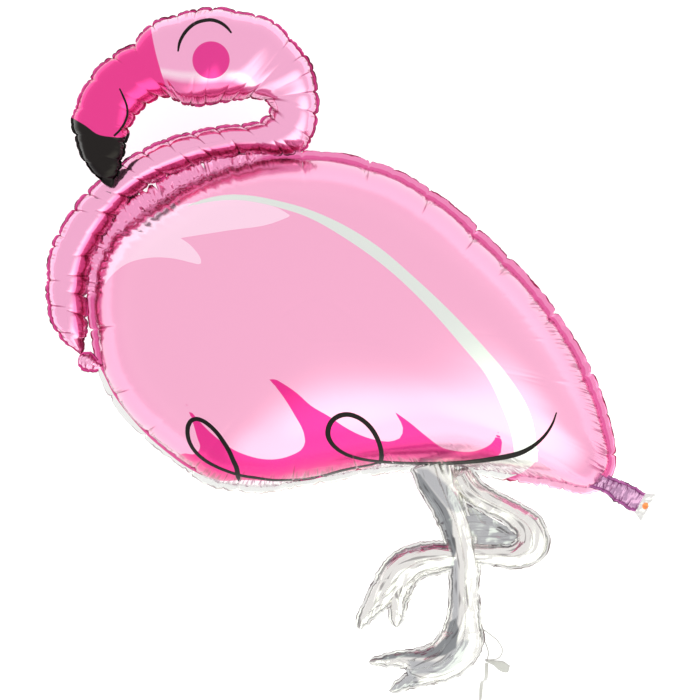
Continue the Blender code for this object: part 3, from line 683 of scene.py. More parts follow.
# Printed film: transparent ink on vapour-coated aluminium under polyester, so it mirrors in the
# ink's colour, softly on the taut belly, with fine gathers along the weld
PINK = "#f5aece"
PALE_PINK = "#fcd3e8"
DEEP_PINK = "#e6298a"
SILVER = "#dfe3de"
BARE_SILVER = "#f0f0ee"


def printed_film(name, ground, layers, weld, painted_fold_shade_colour, roughness, over_weld=(),
                 stretch=(0.5, 0.5, 0.03), crinkled=None, line_range=(0.53, 0.62), deep=0.003,
                 painted_rim_shade_colour=None):
    """Film with print layers, each the name of a signed distance in rows, its colour and how soft its edge
    is, over a ground. The weld has its own colour, a strip of another along the seam, and painted dark shade
    in stretches on its edge. Gathers, stretched square to the weld, are relief; they and the creases also get
    painted shade lines."""
    film, tree, shader = new_material(name, Metallic=0.94, Roughness=roughness, Coat_Weight=0.3,
                                      Coat_Roughness=0.05)
    weld_colour, strip_colour, strip_middle, strip_half, painted_edge_shade_colour = weld
    prints = [(key, colour, soft[0] if soft else 0.35) for key, colour, *soft in (*layers, *over_weld)]
    wanted = ["inwards", "edge", "hatch", "crease_way", "crease_end", *(key for key, _, _ in prints)]
    wanted += ["plan_in"] * bool(painted_rim_shade_colour) + [crinkled] * bool(crinkled)
    value = {key: add(tree, "ShaderNodeAttribute", attribute_name=key).outputs["Fac"]
             for key in dict.fromkeys(wanted)}
    spread = add(tree, "ShaderNodeAttribute", attribute_name="gather").outputs["Vector"]

    # Three noises over the film: slow patches of the painted shade on the weld's edge, the gathers, and tucks
    for key, size, scale, detail in (("slow", (1.0, 1.0, 1.0), 0.07, 2.0), ("gathers", stretch, 1.0, 2.0),
                                     ("tucks", (0.13, 0.13, 0.05), 1.0, 1.5)):
        if key == "tucks" and not crinkled:
            continue
        sized = add(tree, "ShaderNodeMapping", [(0, spread)])
        sized.inputs["Scale"].default_value = size
        noise = add(tree, "ShaderNodeTexNoise", [("Vector", sized.outputs[0])])
        noise.inputs["Scale"].default_value = scale
        noise.inputs["Detail"].default_value = detail
        value[key] = noise.outputs[0]

    # Each step: what it makes, how, and from what; a ramp goes smoothly from 0 to 1 between two values
    steps = [
        ("on_weld", "RAMP", "inwards", 0.25, -0.25),
        ("strip", "ADD", "inwards", strip_middle),
        ("strip", "ABSOLUTE", "strip", 0.0),
        ("strip", "RAMP", "strip", strip_half + 0.35, strip_half - 0.35),
        # Painted dark shade on the weld's edge, broken into slow patches
        ("painted_edge_shade", "SUBTRACT", "slow", 0.5),
        ("painted_edge_shade", "MULTIPLY", "painted_edge_shade", 7.0),
        ("painted_edge_shade", "ADD", "edge", "painted_edge_shade"),
        ("painted_edge_shade", "RAMP", "painted_edge_shade", 1.0, 0.2),
        ("on_film", "RAMP", "inwards", -0.6, 0.6),
        ("fade", "MULTIPLY", "hatch", "on_film"),
        # Painted shade lines: dark lines along the gathers and along the main creases
        ("lines", "RAMP", "gathers", *line_range),
        ("lines", "MULTIPLY", "lines", 0.85),
        ("lines", "MULTIPLY", "lines", "fade"),
        ("crease", "ABSOLUTE", "crease_way", 0.0),
        ("crease", "RAMP", "crease", 1.2, 0.3),
        ("crease_end", "RAMP", "crease_end", 0.95, 0.45),
        ("crease", "MULTIPLY", "crease", "crease_end"),
        ("crease", "MULTIPLY", "crease", "on_film"),
        ("painted_fold_shade", "MAXIMUM", "lines", "crease"),
        ("relief", "MULTIPLY", "gathers", "fade"),
    ]
    # Painted shade: the film's colour is darkened towards the seam, where it turns away
    if painted_rim_shade_colour:
        steps += [("painted_rim_shade", "RAMP", "plan_in", 36.0, 3.0), ("painted_rim_shade", "MULTIPLY", "painted_rim_shade", "on_film")]
    if crinkled:
        steps += [("tucks", "SUBTRACT", "tucks", 0.5), ("tucks", "ABSOLUTE", "tucks", 0.0),
                  ("tucked", "RAMP", crinkled, -6.0, 3.0), ("tucks", "MULTIPLY", "tucks", "tucked")]
    steps += [(f"print_{k}", "RAMP", key, -soft, soft) for k, (key, _, soft) in enumerate(prints)]
    for key, operation, first, *rest in steps:
        if operation == "RAMP":
            made = add(tree, "ShaderNodeMapRange", [(0, value[first])], interpolation_type="SMOOTHSTEP",
                       in_1=rest[0], in_2=rest[1])
        elif isinstance(rest[0], str):
            made = add(tree, "ShaderNodeMath", [(0, value[first]), (1, value[rest[0]])], operation=operation)
        else:
            made = add(tree, "ShaderNodeMath", [(0, value[first])], operation=operation, in_1=rest[0])
        value[key] = made.outputs[0]

    # The washes of colour from the ground up: what each follows, its colour, and how it is laid on
    inks = [(f"print_{k}", colour, "MIX") for k, (_, colour, _) in enumerate(prints)]
    washes = [*inks[:len(layers)], ("on_weld", weld_colour, "MIX"), ("strip", strip_colour, "MIX"),
              ("painted_edge_shade", painted_edge_shade_colour, "MULTIPLY"), *inks[len(layers):]]
    if painted_rim_shade_colour:
        washes.append(("painted_rim_shade", painted_rim_shade_colour, "MULTIPLY"))
    # Painted shade: the dark lines of the gathers and creases, then the weld's edge darkened once more
    washes += [("painted_fold_shade", painted_fold_shade_colour, "MULTIPLY"), ("painted_edge_shade", "#c8bbbf", "MULTIPLY")]
    shade = add(tree, "ShaderNodeMix", data_type="RGBA", in_0=0.0, in_6=linear(ground))
    for key, colour, blend in washes:
        shade = add(tree, "ShaderNodeMix", [(0, value[key]), (6, shade.outputs[2])], data_type="RGBA",
                    blend_type=blend, in_7=linear(colour))
    tree.links.new(shade.outputs[2], shader.inputs["Base Color"])

    bump = add(tree, "ShaderNodeBump", [("Height", value["relief"])])
    bump.inputs["Strength"].default_value = 0.7
    bump.inputs["Distance"].default_value = deep
    if crinkled:
        bump = add(tree, "ShaderNodeBump", [("Height", value["tucks"]), ("Normal", bump.outputs[0])])
        bump.inputs["Strength"].default_value = 0.8
        bump.inputs["Distance"].default_value = 0.014
    tree.links.new(bump.outputs[0], shader.inputs["Normal"])
    return film


# Besides the print, the belly gets painted shade: dark stretches on the weld's edge, dark lines on gathers
# and creases, and a deeper tone near the seam
belly_print = printed_film(
    "pink printed metallised polyester film", PINK,
    [("highlight", PALE_PINK), ("feather", DEEP_PINK), ("stripe", SILVER), ("shared_weld", "#f39ac6", 5.0)],
    ("#f089ba", "#e4609f", 1.6, 1.9, "#d24a8c"), "#b86a98", 0.2,
    [("shared_weld", "#f39ac6", 4.0), ("light_weld", "#f9b4d4", 3.0), ("bare", BARE_SILVER)],
    crinkled="shared_weld", painted_rim_shade_colour="#efdfe9", stretch=(0.42, 0.42, 0.025), line_range=(0.51, 0.59))
belly = new_piece("belly", belly_points, belly_faces, belly_print, ("foil_envelope",), belly_fields)

# Printed lines on the film
# Black ink lines of the same printing: two curls along the feather edge that run out into one long
# sweep. Each is a strip of ink that lies on the film and follows its creases.
INK_LIFT = 0.00016


def settle(film, wanted, u, v, side=1.0):
    """The film's own two parameters where the camera sees wanted columns and rows: Newton's steps on
    the film's seen place, from a first guess."""
    for _ in range(9):
        here = seen_at(film(u, v, side)[0])
        step_u = (seen_at(film(u + 0.25, v, side)[0]) - here) / 0.25
        step_v = (seen_at(film(u, v + 0.004, side)[0]) - here) / 0.004
        miss = wanted - here
        area = step_u[..., 0] * step_v[..., 1] - step_u[..., 1] * step_v[..., 0]
        area = np.where(np.abs(area) < 1e-3, 1e-3, area)
        du = (miss[..., 0] * step_v[..., 1] - miss[..., 1] * step_v[..., 0]) / area
        dv = (step_u[..., 0] * miss[..., 1] - step_u[..., 1] * miss[..., 0]) / area
        u = u + np.clip(du, -12.0, 12.0)
        v = np.clip(v + np.clip(dv, -0.15, 0.15), 0.002, film.last - 0.002)
    return u, v


def ink_line(points, film, guess_seen, guess_u, guess_v):
    """A strip along picture points of (column, row, width): nine places across, the outer two let in
    under the film, each settled on the film from the nearest of its grid's points."""
    length = route_length(np.array(points, float)[:, :2])
    line = smooth(points, int(length / 0.8) + 4)
    along = unit(np.gradient(line[:, :2], axis=0))
    side = np.stack([-along[:, 1], along[:, 0]], axis=1)
    across = np.array([-1.04, -1.0, -0.7, -0.35, 0.0, 0.35, 0.7, 1.0, 1.04])
    wanted = line[:, None, :2] + 0.5 * line[:, 2][:, None, None] * across[None, :, None] * side[:, None]
    near = np.argmin(((line[:, None, :2] - guess_seen[None]) ** 2).sum(-1), axis=1)
    u = np.repeat(guess_u[near][:, None], len(across), axis=1)
    v = np.repeat(guess_v[near][:, None], len(across), axis=1)
    u, v = settle(film, wanted, u, v)
    on_film, normal = film(u, v, 1.0)[:2]
    lift = np.where(np.abs(across) > 1.01, -INK_LIFT, INK_LIFT)
    return on_film + normal * lift[None, :, None], grid_faces(len(line), len(across))


def ink_piece(name, lines, film, seen, u, v, material):
    """One mesh of several ink lines on one film."""
    points, faces, count = [], [], 0
    for line in lines:
        made, quads = ink_line(line, film, seen, u, v)
        points.append(made.reshape(-1, 3))
        faces.append(quads + count)
        count += points[-1].shape[0]
    return new_piece(name, np.vstack(points), np.vstack(faces), material)


# Black flexographic ink under gloss: dark, with the foil's shine on it
black_ink, tree, shader = new_material("black gloss ink on film", Roughness=0.35, Specular_IOR_Level=0.12)
blot = add(tree, "ShaderNodeTexCoord")
blot = add(tree, "ShaderNodeTexNoise", [("Vector", blot.outputs["Object"])])
blot.inputs["Scale"].default_value = 90.0
tone = add(tree, "ShaderNodeMix", [(0, blot.outputs[0])], data_type="RGBA",
           in_6=linear("#0c0908"), in_7=linear("#1a1413"))
tree.links.new(tone.outputs[2], shader.inputs["Base Color"])

CURLS = [
    [(239.5, 481, 2.6), (238, 476, 4.6), (236.5, 468, 4.8), (233, 460, 4.6), (229, 451, 4.4),
     (223.5, 442, 4.2), (217, 433, 4.0), (209.5, 425.5, 4.0), (202, 420.5, 4.0), (196.5, 419, 4.2),
     (191.5, 420.5, 4.4), (188.5, 425, 4.6), (187.5, 431, 4.4), (188.5, 439, 4.0), (192, 447, 3.6),
     (198, 454.5, 3.4), (206, 461, 3.2), (216, 466.5, 3.0), (228, 471.5, 2.8), (241, 475.5, 2.6),
     (257, 478, 2.4), (272, 480, 2.2), (290, 480, 2.0), (310, 478.5, 2.2), (326, 475, 2.2),
     (342, 470.5, 2.2), (356, 467.5, 2.0), (370, 465, 1.8), (379, 462.5, 1.6)],
    [(379.5, 464, 2.4), (381, 460, 4.4), (381.5, 454, 4.6), (380, 446, 4.6), (377, 438, 4.6),
     (372, 429.5, 4.6), (365.5, 422.5, 4.6), (357, 417, 4.6), (347.5, 414.5, 4.8), (339, 416, 5.0),
     (332, 421, 5.0), (328.5, 428, 5.2), (328, 435, 5.0), (331.5, 443, 4.4), (338, 449.5, 3.8),
     (346.5, 454.5, 3.4), (357, 458, 3.0), (370, 460.5, 2.6), (384, 462, 2.6), (400, 463, 2.6),
     (420, 463.5, 2.8), (443, 463.5, 3.2), (462, 462.5, 3.6), (478, 461, 4.2), (494, 458.8, 4.8),
     (508, 456.3, 5.2), (521, 452.7, 4.8), (531, 447.5, 4.2), (540, 440.5, 3.4), (547.5, 432, 2.8),
     (553, 422.5, 2.2), (556.5, 412.5, 1.2)],
]
belly_film.last = 0.5 * math.pi
belly_u = np.broadcast_to(spokes[None], top.shape[:2]).ravel()
belly_v = np.broadcast_to(rings_up[:, None], top.shape[:2]).ravel()
ink_piece("belly_curls", CURLS, belly_film, seen_at(top.reshape(-1, 3)), belly_u, belly_v, black_ink)

# Neck and head
# One narrower chamber of the same film goes up beside the belly, folds back over it and swells into
# the head, whose beak comes down in front of the neck. Its slack gathers deeper than the belly's.
# Each row: a point on the weld at the gap's side, the point across from it, share of height, lift
TUBE_FULLNESS = 2.15
NECK_WELDS = [(0, 5.2, 2.6), (23, 5.2, 2.6), (28, 3.0, 4.6), (47, 3.2, 4.6), (57, 3.0, 3.5)]
NECK_ACROSS = [
    (74, 353, 86, 356, 0.80, 0), (66, 346.5, 88, 348, 0.88, 0), (57, 335, 88.5, 338, 0.93, 0),
    (49.5, 321, 88.5, 325, 0.95, 0), (46.5, 306, 88.5, 310, 0.95, 0), (45, 291, 88, 294, 0.95, 0),
    (45.5, 275, 89.5, 281, 0.95, 0), (47, 258, 92, 267, 0.95, 0), (51, 243, 96, 254, 0.95, 0),
    (58, 229.5, 102, 243, 0.95, 0), (67, 215, 110, 230, 0.95, 0), (78, 199, 119, 216, 0.95, 0),
    (90, 187, 130, 202, 0.95, 0), (102, 176, 142, 191.5, 0.95, 0), (114, 166.5, 154, 184, 0.95, 0),
    (127, 157, 166, 178, 0.95, 0), (141, 149, 178, 173, 0.95, 0), (157, 141.5, 191, 168.5, 0.95, 0),
    (174, 135, 205, 164, 0.95, 0), (191, 130.5, 219, 160, 0.95, 0), (208, 126.5, 234, 157, 0.95, 0),
    (224, 124.3, 250, 155, 0.95, 0), (238, 123.5, 266, 155.5, 0.95, 0), (250, 122, 282, 157, 0.95, 0),
    (259, 119, 297, 154, 0.93, 0), (265, 115, 308, 148, 0.92, 0), (268, 110, 315, 134, 0.90, 0),
    (268, 106, 319, 116, 0.87, 0), (265, 102.5, 320, 98, 0.85, 0), (259, 100.5, 317, 80, 0.82, 0),
    (252, 100, 312, 62, 0.79, 0), (245, 100.5, 302, 49, 0.76, 0), (237, 101.5, 290, 35, 0.73, 0),
    (229, 102.8, 276, 21, 0.72, 0), (221, 104, 259, 14, 0.71, 0), (213, 105.2, 240, 10.5, 0.70, 0),
    (205, 106.8, 221, 6.5, 0.70, 0), (198, 107.5, 203, 7, 0.70, 0), (191, 107.3, 186, 10.5, 0.70, 0),
    (185, 106, 169, 15.5, 0.70, 0), (179, 103.5, 154, 20, 0.70, 0), (173, 100.5, 142, 30, 0.70, 0),
    (167, 98.5, 131, 42.5, 0.70, 0), (161, 99, 117, 50, 0.70, 0), (155, 101.5, 104, 60, 0.70, 0.001),
    (150, 105, 94, 70, 0.69, 0.004), (145, 110, 87, 81, 0.68, 0.007), (140, 116, 80, 94, 0.66, 0.010),
    (136, 122.5, 76, 106, 0.64, 0.014), (133, 129, 72.5, 117, 0.62, 0.018),
    (131.5, 137, 72.5, 127, 0.60, 0.023), (130, 146, 76, 138, 0.58, 0.028),
    (128, 156, 80, 150, 0.56, 0.033), (126, 165, 84, 161, 0.54, 0.036), (124, 174, 90, 172, 0.52, 0.039),
    (121.5, 181, 98, 181, 0.50, 0.040), (119, 186, 107, 188, 0.50, 0.040),
    (117, 189.5, 113, 190.3, 0.50, 0.040),
]
HEAD_FROM = 26
NEAR_CREASES = [
    (72, 350), (57, 333), (50, 305), (46, 280), (50, 246), (57, 233), (73, 209), (86, 192), (100, 178),
    (119, 163), (141, 149), (166, 138), (190, 131), (215, 126), (240, 123), (258, 120), (267, 113),
    (268, 107), (263, 101), (250, 100), (232, 102), (220, 104), (206, 107), (190, 107), (180, 104),
    (170, 99), (160, 99), (149, 106), (139, 118), (133, 130), (130, 146), (126, 163), (122, 180),
]
FAR_CREASES = [
    (88, 338), (88, 318), (88, 296), (89, 276), (95, 256), (104, 236), (116, 216), (132, 200), (150, 186),
    (170, 177), (193, 168), (216, 159), (240, 154), (262, 155), (283, 157), (297, 155), (313, 140),
    (320, 115), (318, 92), (313, 70), (305, 55), (291, 38), (275, 22), (256, 13), (237, 9), (213, 6),
    (197, 8), (176, 13), (150, 22), (133, 40), (110, 56), (89, 79), (75, 109), (76, 138), (86, 165),
]


def welded_tube(near, far, share, lift, weld, near_tables, far_tables, ends=(0.0, 0.0), crumple=None):
    """The film of a chamber between two welds, as a function of the place along it and of an angle
    from 0 at the near weld to half a turn at the far one. Its section is a superellipse as wide as
    the welds leave it and share times as high; it closes over the given length at each end."""
    count = len(near)
    steps = np.arange(count, dtype=float)
    middle_run = run_along(0.5 * (near + far)) / ROW
    runs = [run_along(w) / ROW for w in (near, far)]
    close = np.ones(count)
    for gap, length in ((middle_run, ends[0]), (middle_run[-1] - middle_run, ends[1])):
        if length:
            share_in = np.clip(gap / length, 0.0, 1.0)
            close = np.minimum(close, np.sqrt(np.clip(1.0 - (1.0 - share_in) ** 2, 0.0004, 1.0)))
    weld = [np.broadcast_to(w, count) for w in weld]
    angles = np.linspace(0.0, math.pi, 721)
    arc = np.stack([-np.sign(np.cos(angles)) * np.abs(np.cos(angles)) ** (2.0 / TUBE_FULLNESS),
                    0.8 * np.sin(angles) ** (2.0 / TUBE_FULLNESS)], axis=1)
    arc = run_along(arc)

    def at(values, u):
        """Values given at the places along the tube, read between them."""
        values = np.asarray(values)
        if values.ndim == 1:
            return np.interp(u, steps, values)
        return np.stack([np.interp(u, steps, values[:, j]) for j in range(values.shape[1])], axis=-1)

    def to_welds(v, inner):
        """The film's reach in rows from an angle to the near weld, and to the far one."""
        reach = np.interp(v, angles, arc)
        return reach * inner / ROW, (arc[-1] - reach) * inner / ROW

    def base(u, v, side):
        """The smooth film, with the half width inside its welds and the way across."""
        a, b = at(near, u), at(far, u)
        middle, half = 0.5 * (a + b), 0.5 * (b - a)
        reach = np.linalg.norm(half, axis=-1) * at(close, u)
        across = unit(half)
        near_weld, far_weld = at(weld[0], u), at(weld[1], u)
        inner = np.maximum(reach - 0.5 * (near_weld + far_weld), 0.45 * reach)
        middle = middle + across * (0.5 * (near_weld - far_weld) * at(close, u))[..., None]
        wide = -np.sign(np.cos(v)) * np.abs(np.cos(v)) ** (2.0 / TUBE_FULLNESS)
        high = np.abs(np.sin(v)) ** (2.0 / TUBE_FULLNESS)
        flat = middle + across * (inner * wide)[..., None]
        height = SEAM_Z + at(lift, u) + side * at(share, u) * inner * high
        return np.concatenate([flat, height[..., None]], axis=-1), inner, across

    def film(u, v, side):
        """The film with its creases: the smooth film sunk along its own normal."""
        u, v = np.broadcast_arrays(np.asarray(u, float), np.asarray(v, float))
        here, inner, _ = base(u, v, side)
        low, high = np.clip(u - 0.6, 0.0, count - 1.0), np.clip(u + 0.6, 0.0, count - 1.0)
        next_u = base(high, v, side)[0] - base(low, v, side)[0]
        next_v = base(u, np.minimum(v + 0.01, math.pi), side)[0] - base(u, np.maximum(v - 0.01, 0.0), side)[0]
        normal = unit(np.cross(next_v, next_u)) * side
        from_near, from_far = to_welds(v, inner)
        depth = (sink(at(runs[0], u), from_near, near_tables)
                 + sink(at(runs[1], u), from_far, far_tables)) * ROW
        if crumple:
            deep, cell_along, cell_across, seed = crumple
            fold = folded(at(middle_run, u) / cell_along, from_near / cell_across, seed)
            depth = depth + deep * ROW * (fold - 0.5)
        depth = np.minimum(depth, 0.35 * inner)
        return here - normal * depth[..., None], normal, np.minimum(from_near, from_far), depth

    def marks(u, v):
        """The crease fields: those of the nearer weld's long creases."""
        u, v = np.broadcast_arrays(np.asarray(u, float), np.asarray(v, float))
        inner = base(u, v, 1.0)[1]
        from_near, from_far = to_welds(v, inner)
        near_marks = crease_way(at(runs[0], u), from_near, near_tables[0])
        far_marks = crease_way(at(runs[1], u), from_far, far_tables[0])
        way, end = (np.where(from_near < from_far, a, b) for a, b in zip(near_marks, far_marks))
        return way, end, inner * (1.0 - np.abs(np.cos(v)) ** (2.0 / TUBE_FULLNESS)) / ROW

    film.last = math.pi
    film.marks = marks
    film.base, film.count, film.middle_run = base, count, middle_run
    film.runs, film.lift, film.weld, film.close = runs, lift, weld, close
    return film


def tube_mesh(film, across_top, across_low, seed):
    """The closed shell of a welded tube: the upper film from weld to weld, the far flange, the lower
    film back, and the near flange, at every place along it, with its ends closed."""
    steps = np.arange(film.count, dtype=float)
    v_top, v_low = np.linspace(0.0, math.pi, across_top), np.linspace(math.pi, 0.0, across_low)
    upper, _, upper_in, upper_sink = film(steps[:, None], v_top[None], 1.0)
    lower, _, lower_in, _ = film(steps[:, None], v_low[None], -1.0)
    _, inner, across = film.base(steps, np.zeros(film.count), 1.0)
    near_width, far_width = (np.minimum(w, 1.2 * inner) * film.close for w in film.weld)
    far_up, far_down = (part.transpose(1, 0, 2) for part in weld_flange(
        upper[:, -1, :2], across, far_width, film.runs[1], upper_sink[:, -1], film.lift, seed))
    near_up, near_down = (part.transpose(1, 0, 2) for part in weld_flange(
        upper[:, 0, :2], -across, near_width, film.runs[0], upper_sink[:, 0], film.lift, seed + 1))
    ring = np.concatenate([upper, far_up, far_down[:, ::-1], lower, near_down, near_up[:, ::-1]], axis=1)
    size = ring.shape[1]
    near_out, far_out = (-WELD_SHARES * w[:, None] / ROW for w in film.weld)
    near_edge, far_edge = ((1.0 - WELD_SHARES) * w[:, None] / ROW for w in film.weld)
    inwards = np.concatenate([upper_in, far_out, far_out[:, ::-1], lower_in, near_out, near_out[:, ::-1]],
                             axis=1)
    welds = 2 * len(WELD_SHARES)
    angles = np.concatenate([v_top, np.full(welds, math.pi), v_low, np.zeros(welds)])
    on_far = angles > 0.5 * math.pi
    gather = np.stack([np.broadcast_to(film.middle_run[:, None], inwards.shape),
                       np.broadcast_to(60.0 * on_far[None], inwards.shape), inwards], axis=-1)
    way, end, plan_in = film.marks(steps[:, None], angles[None])
    slow_along = np.broadcast_to(film.middle_run[:, None] / 24.0, way.shape)
    slow = 1.6 * ripple(slow_along, 7.0 * on_far[None] + 0.0 * way, seed + 9)
    hatch_length = 1.5 + 7.0 * np.maximum(ease(slow), np.exp(-((way / 5.0) ** 2)))
    hatch = 1.0 - ease(1.4 * plan_in / hatch_length - 0.4)
    plan_side = np.where(on_far[None], -plan_in, plan_in)
    edge = np.concatenate([
        np.full(upper_in.shape, OFF_EDGE), far_edge, far_edge[:, ::-1],
        np.full(lower_in.shape, OFF_EDGE), near_edge, near_edge[:, ::-1]], axis=1)
    fields = {"inwards": inwards, "crease_way": way, "crease_end": end, "hatch": hatch, "edge": edge,
              "plan_side": plan_side}
    faces = grid_faces(film.count, size, wrap_columns=True)
    caps = [range(size), range(film.count * size - 1, (film.count - 1) * size - 1, -1)]
    return (ring.reshape(-1, 3), [*faces[:, ::-1], *caps],
            {**{key: values.ravel() for key, values in fields.items()}, "gather": gather.reshape(-1, 3)},
            seen_at(upper).reshape(-1, 2), np.repeat(steps, across_top), np.tile(v_top, film.count))


neck_rows = np.array(NECK_ACROSS, float)
neck_middle = 0.5 * (neck_rows[:, :2] + neck_rows[:, 2:4])
row_index = np.arange(len(neck_rows), dtype=float)
neck_line = smooth(np.column_stack([neck_middle, neck_rows, row_index]), 800)
neck_near, neck_far = place(neck_line[:, 2], neck_line[:, 3]), place(neck_line[:, 4], neck_line[:, 5])
near_length, far_length = route_length(neck_near) / ROW, route_length(neck_far) / ROW


def crease_runs(places, weld):
    """How far along a weld the points nearest to given places in the picture lie, in rows."""
    run = run_along(weld) / ROW
    spots = place(*np.array(places, float).T)
    return np.sort(run[np.argmin(np.linalg.norm(weld[None] - spots[:, None], axis=2), axis=1)])


place_index = neck_line[:, 8]
neck_welds = [np.interp(place_index, [w[0] for w in NECK_WELDS], [w[k] * 0.001 for w in NECK_WELDS])
              for k in (1, 2)]
neck_film = welded_tube(
    neck_near, neck_far, neck_line[:, 6], neck_line[:, 7], neck_welds,
    [creases(crease_runs(NEAR_CREASES, neck_near), 2.8, 27.0, 22, 0.35, 0.25, 0.6),
     creases(scattered(near_length, 9.0, 0.8, 23), 1.1, 8.0, 24, 0.8, 0.3, 0.35),
     creases(scattered(near_length, 4.6, 0.8, 25), 0.35, 6.0, 26, 0.9, 0.2, 0.2)],
    [creases(crease_runs(FAR_CREASES, neck_far), 2.8, 25.0, 28, 0.35, 0.25, 0.6),
     creases(scattered(far_length, 10.0, 0.8, 29), 1.1, 8.0, 30, 0.8, 0.3, 0.35),
     creases(scattered(far_length, 4.8, 0.8, 31), 0.35, 6.0, 32, 0.9, 0.2, 0.2)],
    ends=(8.0, 6.0))
neck_points, neck_faces, neck_fields, neck_seen, neck_u, neck_v = tube_mesh(neck_film, 64, 28, 33)

# The head's print: a deep pink base to the beak, its black tip, and a round cheek
BEAK_BASE = outline(
    [(150, 14), (151, 28), (155, 50), (162, 75), (167, 90), (171, 108)],
    [(171, 108), (150, 130), (120, 150), (60, 140), (60, 60), (110, 30), (150, 14)])
BEAK_TIP = outline(
    [(60, 112), (76, 120), (86, 126), (97, 134), (113, 137), (124, 137), (134, 127), (146, 122)],
    [(146, 122), (150, 170), (118, 204), (80, 190), (60, 150), (60, 112)])
cheek_turn = np.linspace(0.0, 2.0 * math.pi, 48, endpoint=False)
CHEEK = np.stack([211.0 + 18.7 * np.cos(cheek_turn), 60.0 + 18.7 * np.sin(cheek_turn)], axis=1)
neck_places = seen_at(neck_points)
per_place = len(neck_points) // neck_film.count
in_head = np.repeat(place_index > HEAD_FROM, per_place)
for key, corners in (("beak_base", BEAK_BASE), ("beak_tip", BEAK_TIP), ("cheek", CHEEK)):
    neck_fields[key] = np.where(in_head, inside(neck_places, corners), NO_PRINT)

# Painted shade and highlight: a deeper tone along the undersides, for the darker studio that they mirror, and
# a pale painted highlight streak inside the head's band
HEAD_PAINTED_BAND_WIDTH = 28.0
NECK_PAINTED_BAND_WIDTH = 21.0
head_painted_band = np.repeat(ease((place_index - 28.0) / 6.0) * ease((49.0 - place_index) / 4.0), per_place)
neck_painted_band = np.repeat(ease(place_index / 3.0) * ease((26.0 - place_index) / 3.0), per_place)
plan_side = neck_fields.pop("plan_side")
near_side = np.where(plan_side > 0.0, plan_side, 60.0)
far_side = np.where(plan_side < 0.0, -plan_side, 60.0)
neck_fields["painted_underside_shade"] = np.maximum(HEAD_PAINTED_BAND_WIDTH * head_painted_band - 9.0 - near_side,
                                       NECK_PAINTED_BAND_WIDTH * neck_painted_band - 9.0 - far_side)
painted_highlight_streak = 3.0 - np.abs(near_side - HEAD_PAINTED_BAND_WIDTH * head_painted_band + 2.0)
neck_fields["painted_highlight_streak"] = np.where(head_painted_band > 0.5, painted_highlight_streak, NO_PRINT)
# Of these, the underside layer is painted shade and the streak a painted highlight; the beak base and cheek
# are print
NECK_LAYERS = [("painted_underside_shade", "#e56fa6", 2.5), ("painted_highlight_streak", "#f7d3e4", 3.5), ("beak_base", "#e83a8d"),
               ("cheek", "#e2388f")]
# The weld's edge colour and the fold colour here are painted shade, as on the belly
neck_print = printed_film("pink printed film of the neck", "#f1a9cd", NECK_LAYERS,
                          ("#e2609f", "#cf3a86", 1.0, 1.0, "#a04878"), "#b4688f", 0.15,
                          [("beak_tip", "#17110f")])
new_piece("neck_and_head", neck_points, neck_faces, neck_print, (), neck_fields)
FACE_LINES = [
    [(178, 51.5, 1.6), (179.5, 43, 2.8), (183, 35.5, 3.2), (188, 29, 3.4), (195, 23.5, 3.4),
     (203, 20.7, 3.4), (212, 20, 3.4), (221, 23, 3.2), (227, 27.5, 2.8), (231.5, 33, 1.6)],
    [(119.5, 88.5, 1.4), (123.5, 97, 2.0), (127, 107, 2.2), (127.3, 115, 2.2), (125, 122, 2.2),
     (120, 130, 2.2), (114, 136, 2.2)],
]
head_only = place_index[neck_u.astype(int)] > HEAD_FROM
ink_piece("eye_and_mouth_lines", FACE_LINES, neck_film, neck_seen[head_only], neck_u[head_only],
          neck_v[head_only], black_ink)

# Knuckle where the neck starts
# A short tuck of the same printed polyester film. The welder pinches it flat to close the neck's lower
# end against the belly's weld.
TUBE_ACROSS = (40, 20)
KNUCKLE = [(103, 367, 5, 0.7, 0), (96, 366, 7, 0.9, 0), (86, 361, 10, 0.9, 0), (78, 358, 6, 0.6, 0)]


def tube_rails(rows, count):
    """Both welds of a tube from its middle line, as far to each side as its half width in rows."""
    line = smooth(rows, count)
    centre = place(line[:, 0], line[:, 1])
    along = unit(np.gradient(centre, axis=0))
    side = np.stack([along[:, 1], -along[:, 0]], axis=1) * (line[:, 2] * ROW)[:, None]
    return centre + side, centre - side, line[:, 3], line[:, 4]


def plain_tube(name, rows, count, weld, material, seed, depth, reach, spacing, crumple, ends=(6.0, 6.0),
               unprinted=(), painted_fold_shade=()):
    """A welded tube along a middle line, creased from both welds and crumpled all over. The print fields that
    its material reads are set to no print; where it is given painted fold shade, the outlines of painted
    reflections, those take the crease lines' place."""
    near, far, share, lift = tube_rails(rows, count)
    length = max(route_length(near), route_length(far)) / ROW
    tables = [[creases(scattered(length, spacing, 0.9, seed + k), depth, reach, seed + k + 10, 0.6, 0.5, 0.4),
               creases(scattered(length, spacing * 0.4, 0.8, seed + k + 20), depth * 0.4, reach * 0.5,
                       seed + k + 30, 0.9, 0.3, 0.3)]
              for k in (1, 2)]
    film = welded_tube(near, far, share, lift, weld, tables[0], tables[1], ends, crumple)
    points, faces, fields, *_ = tube_mesh(film, *TUBE_ACROSS, seed + 50)
    del fields["plan_side"]
    for key in unprinted:
        fields[key] = np.full(len(points), NO_PRINT)
    for key, outlines in painted_fold_shade:
        fields[key] = np.max([inside(seen_at(points), corners) for corners in outlines], axis=0)
    if painted_fold_shade:
        fields["crease_way"] = np.full(len(points), NO_CREASE)
        fields["hatch"] = np.ones(len(points))
    new_piece(name, points, faces, material, (), fields)


plain_tube("knuckle", KNUCKLE, 40, (0.004, 0.004), neck_print, 100, 1.0, 8.0, 9.0, (1.2, 7.0, 9.0, 61),
           unprinted=[*(layer[0] for layer in NECK_LAYERS), "beak_tip"])

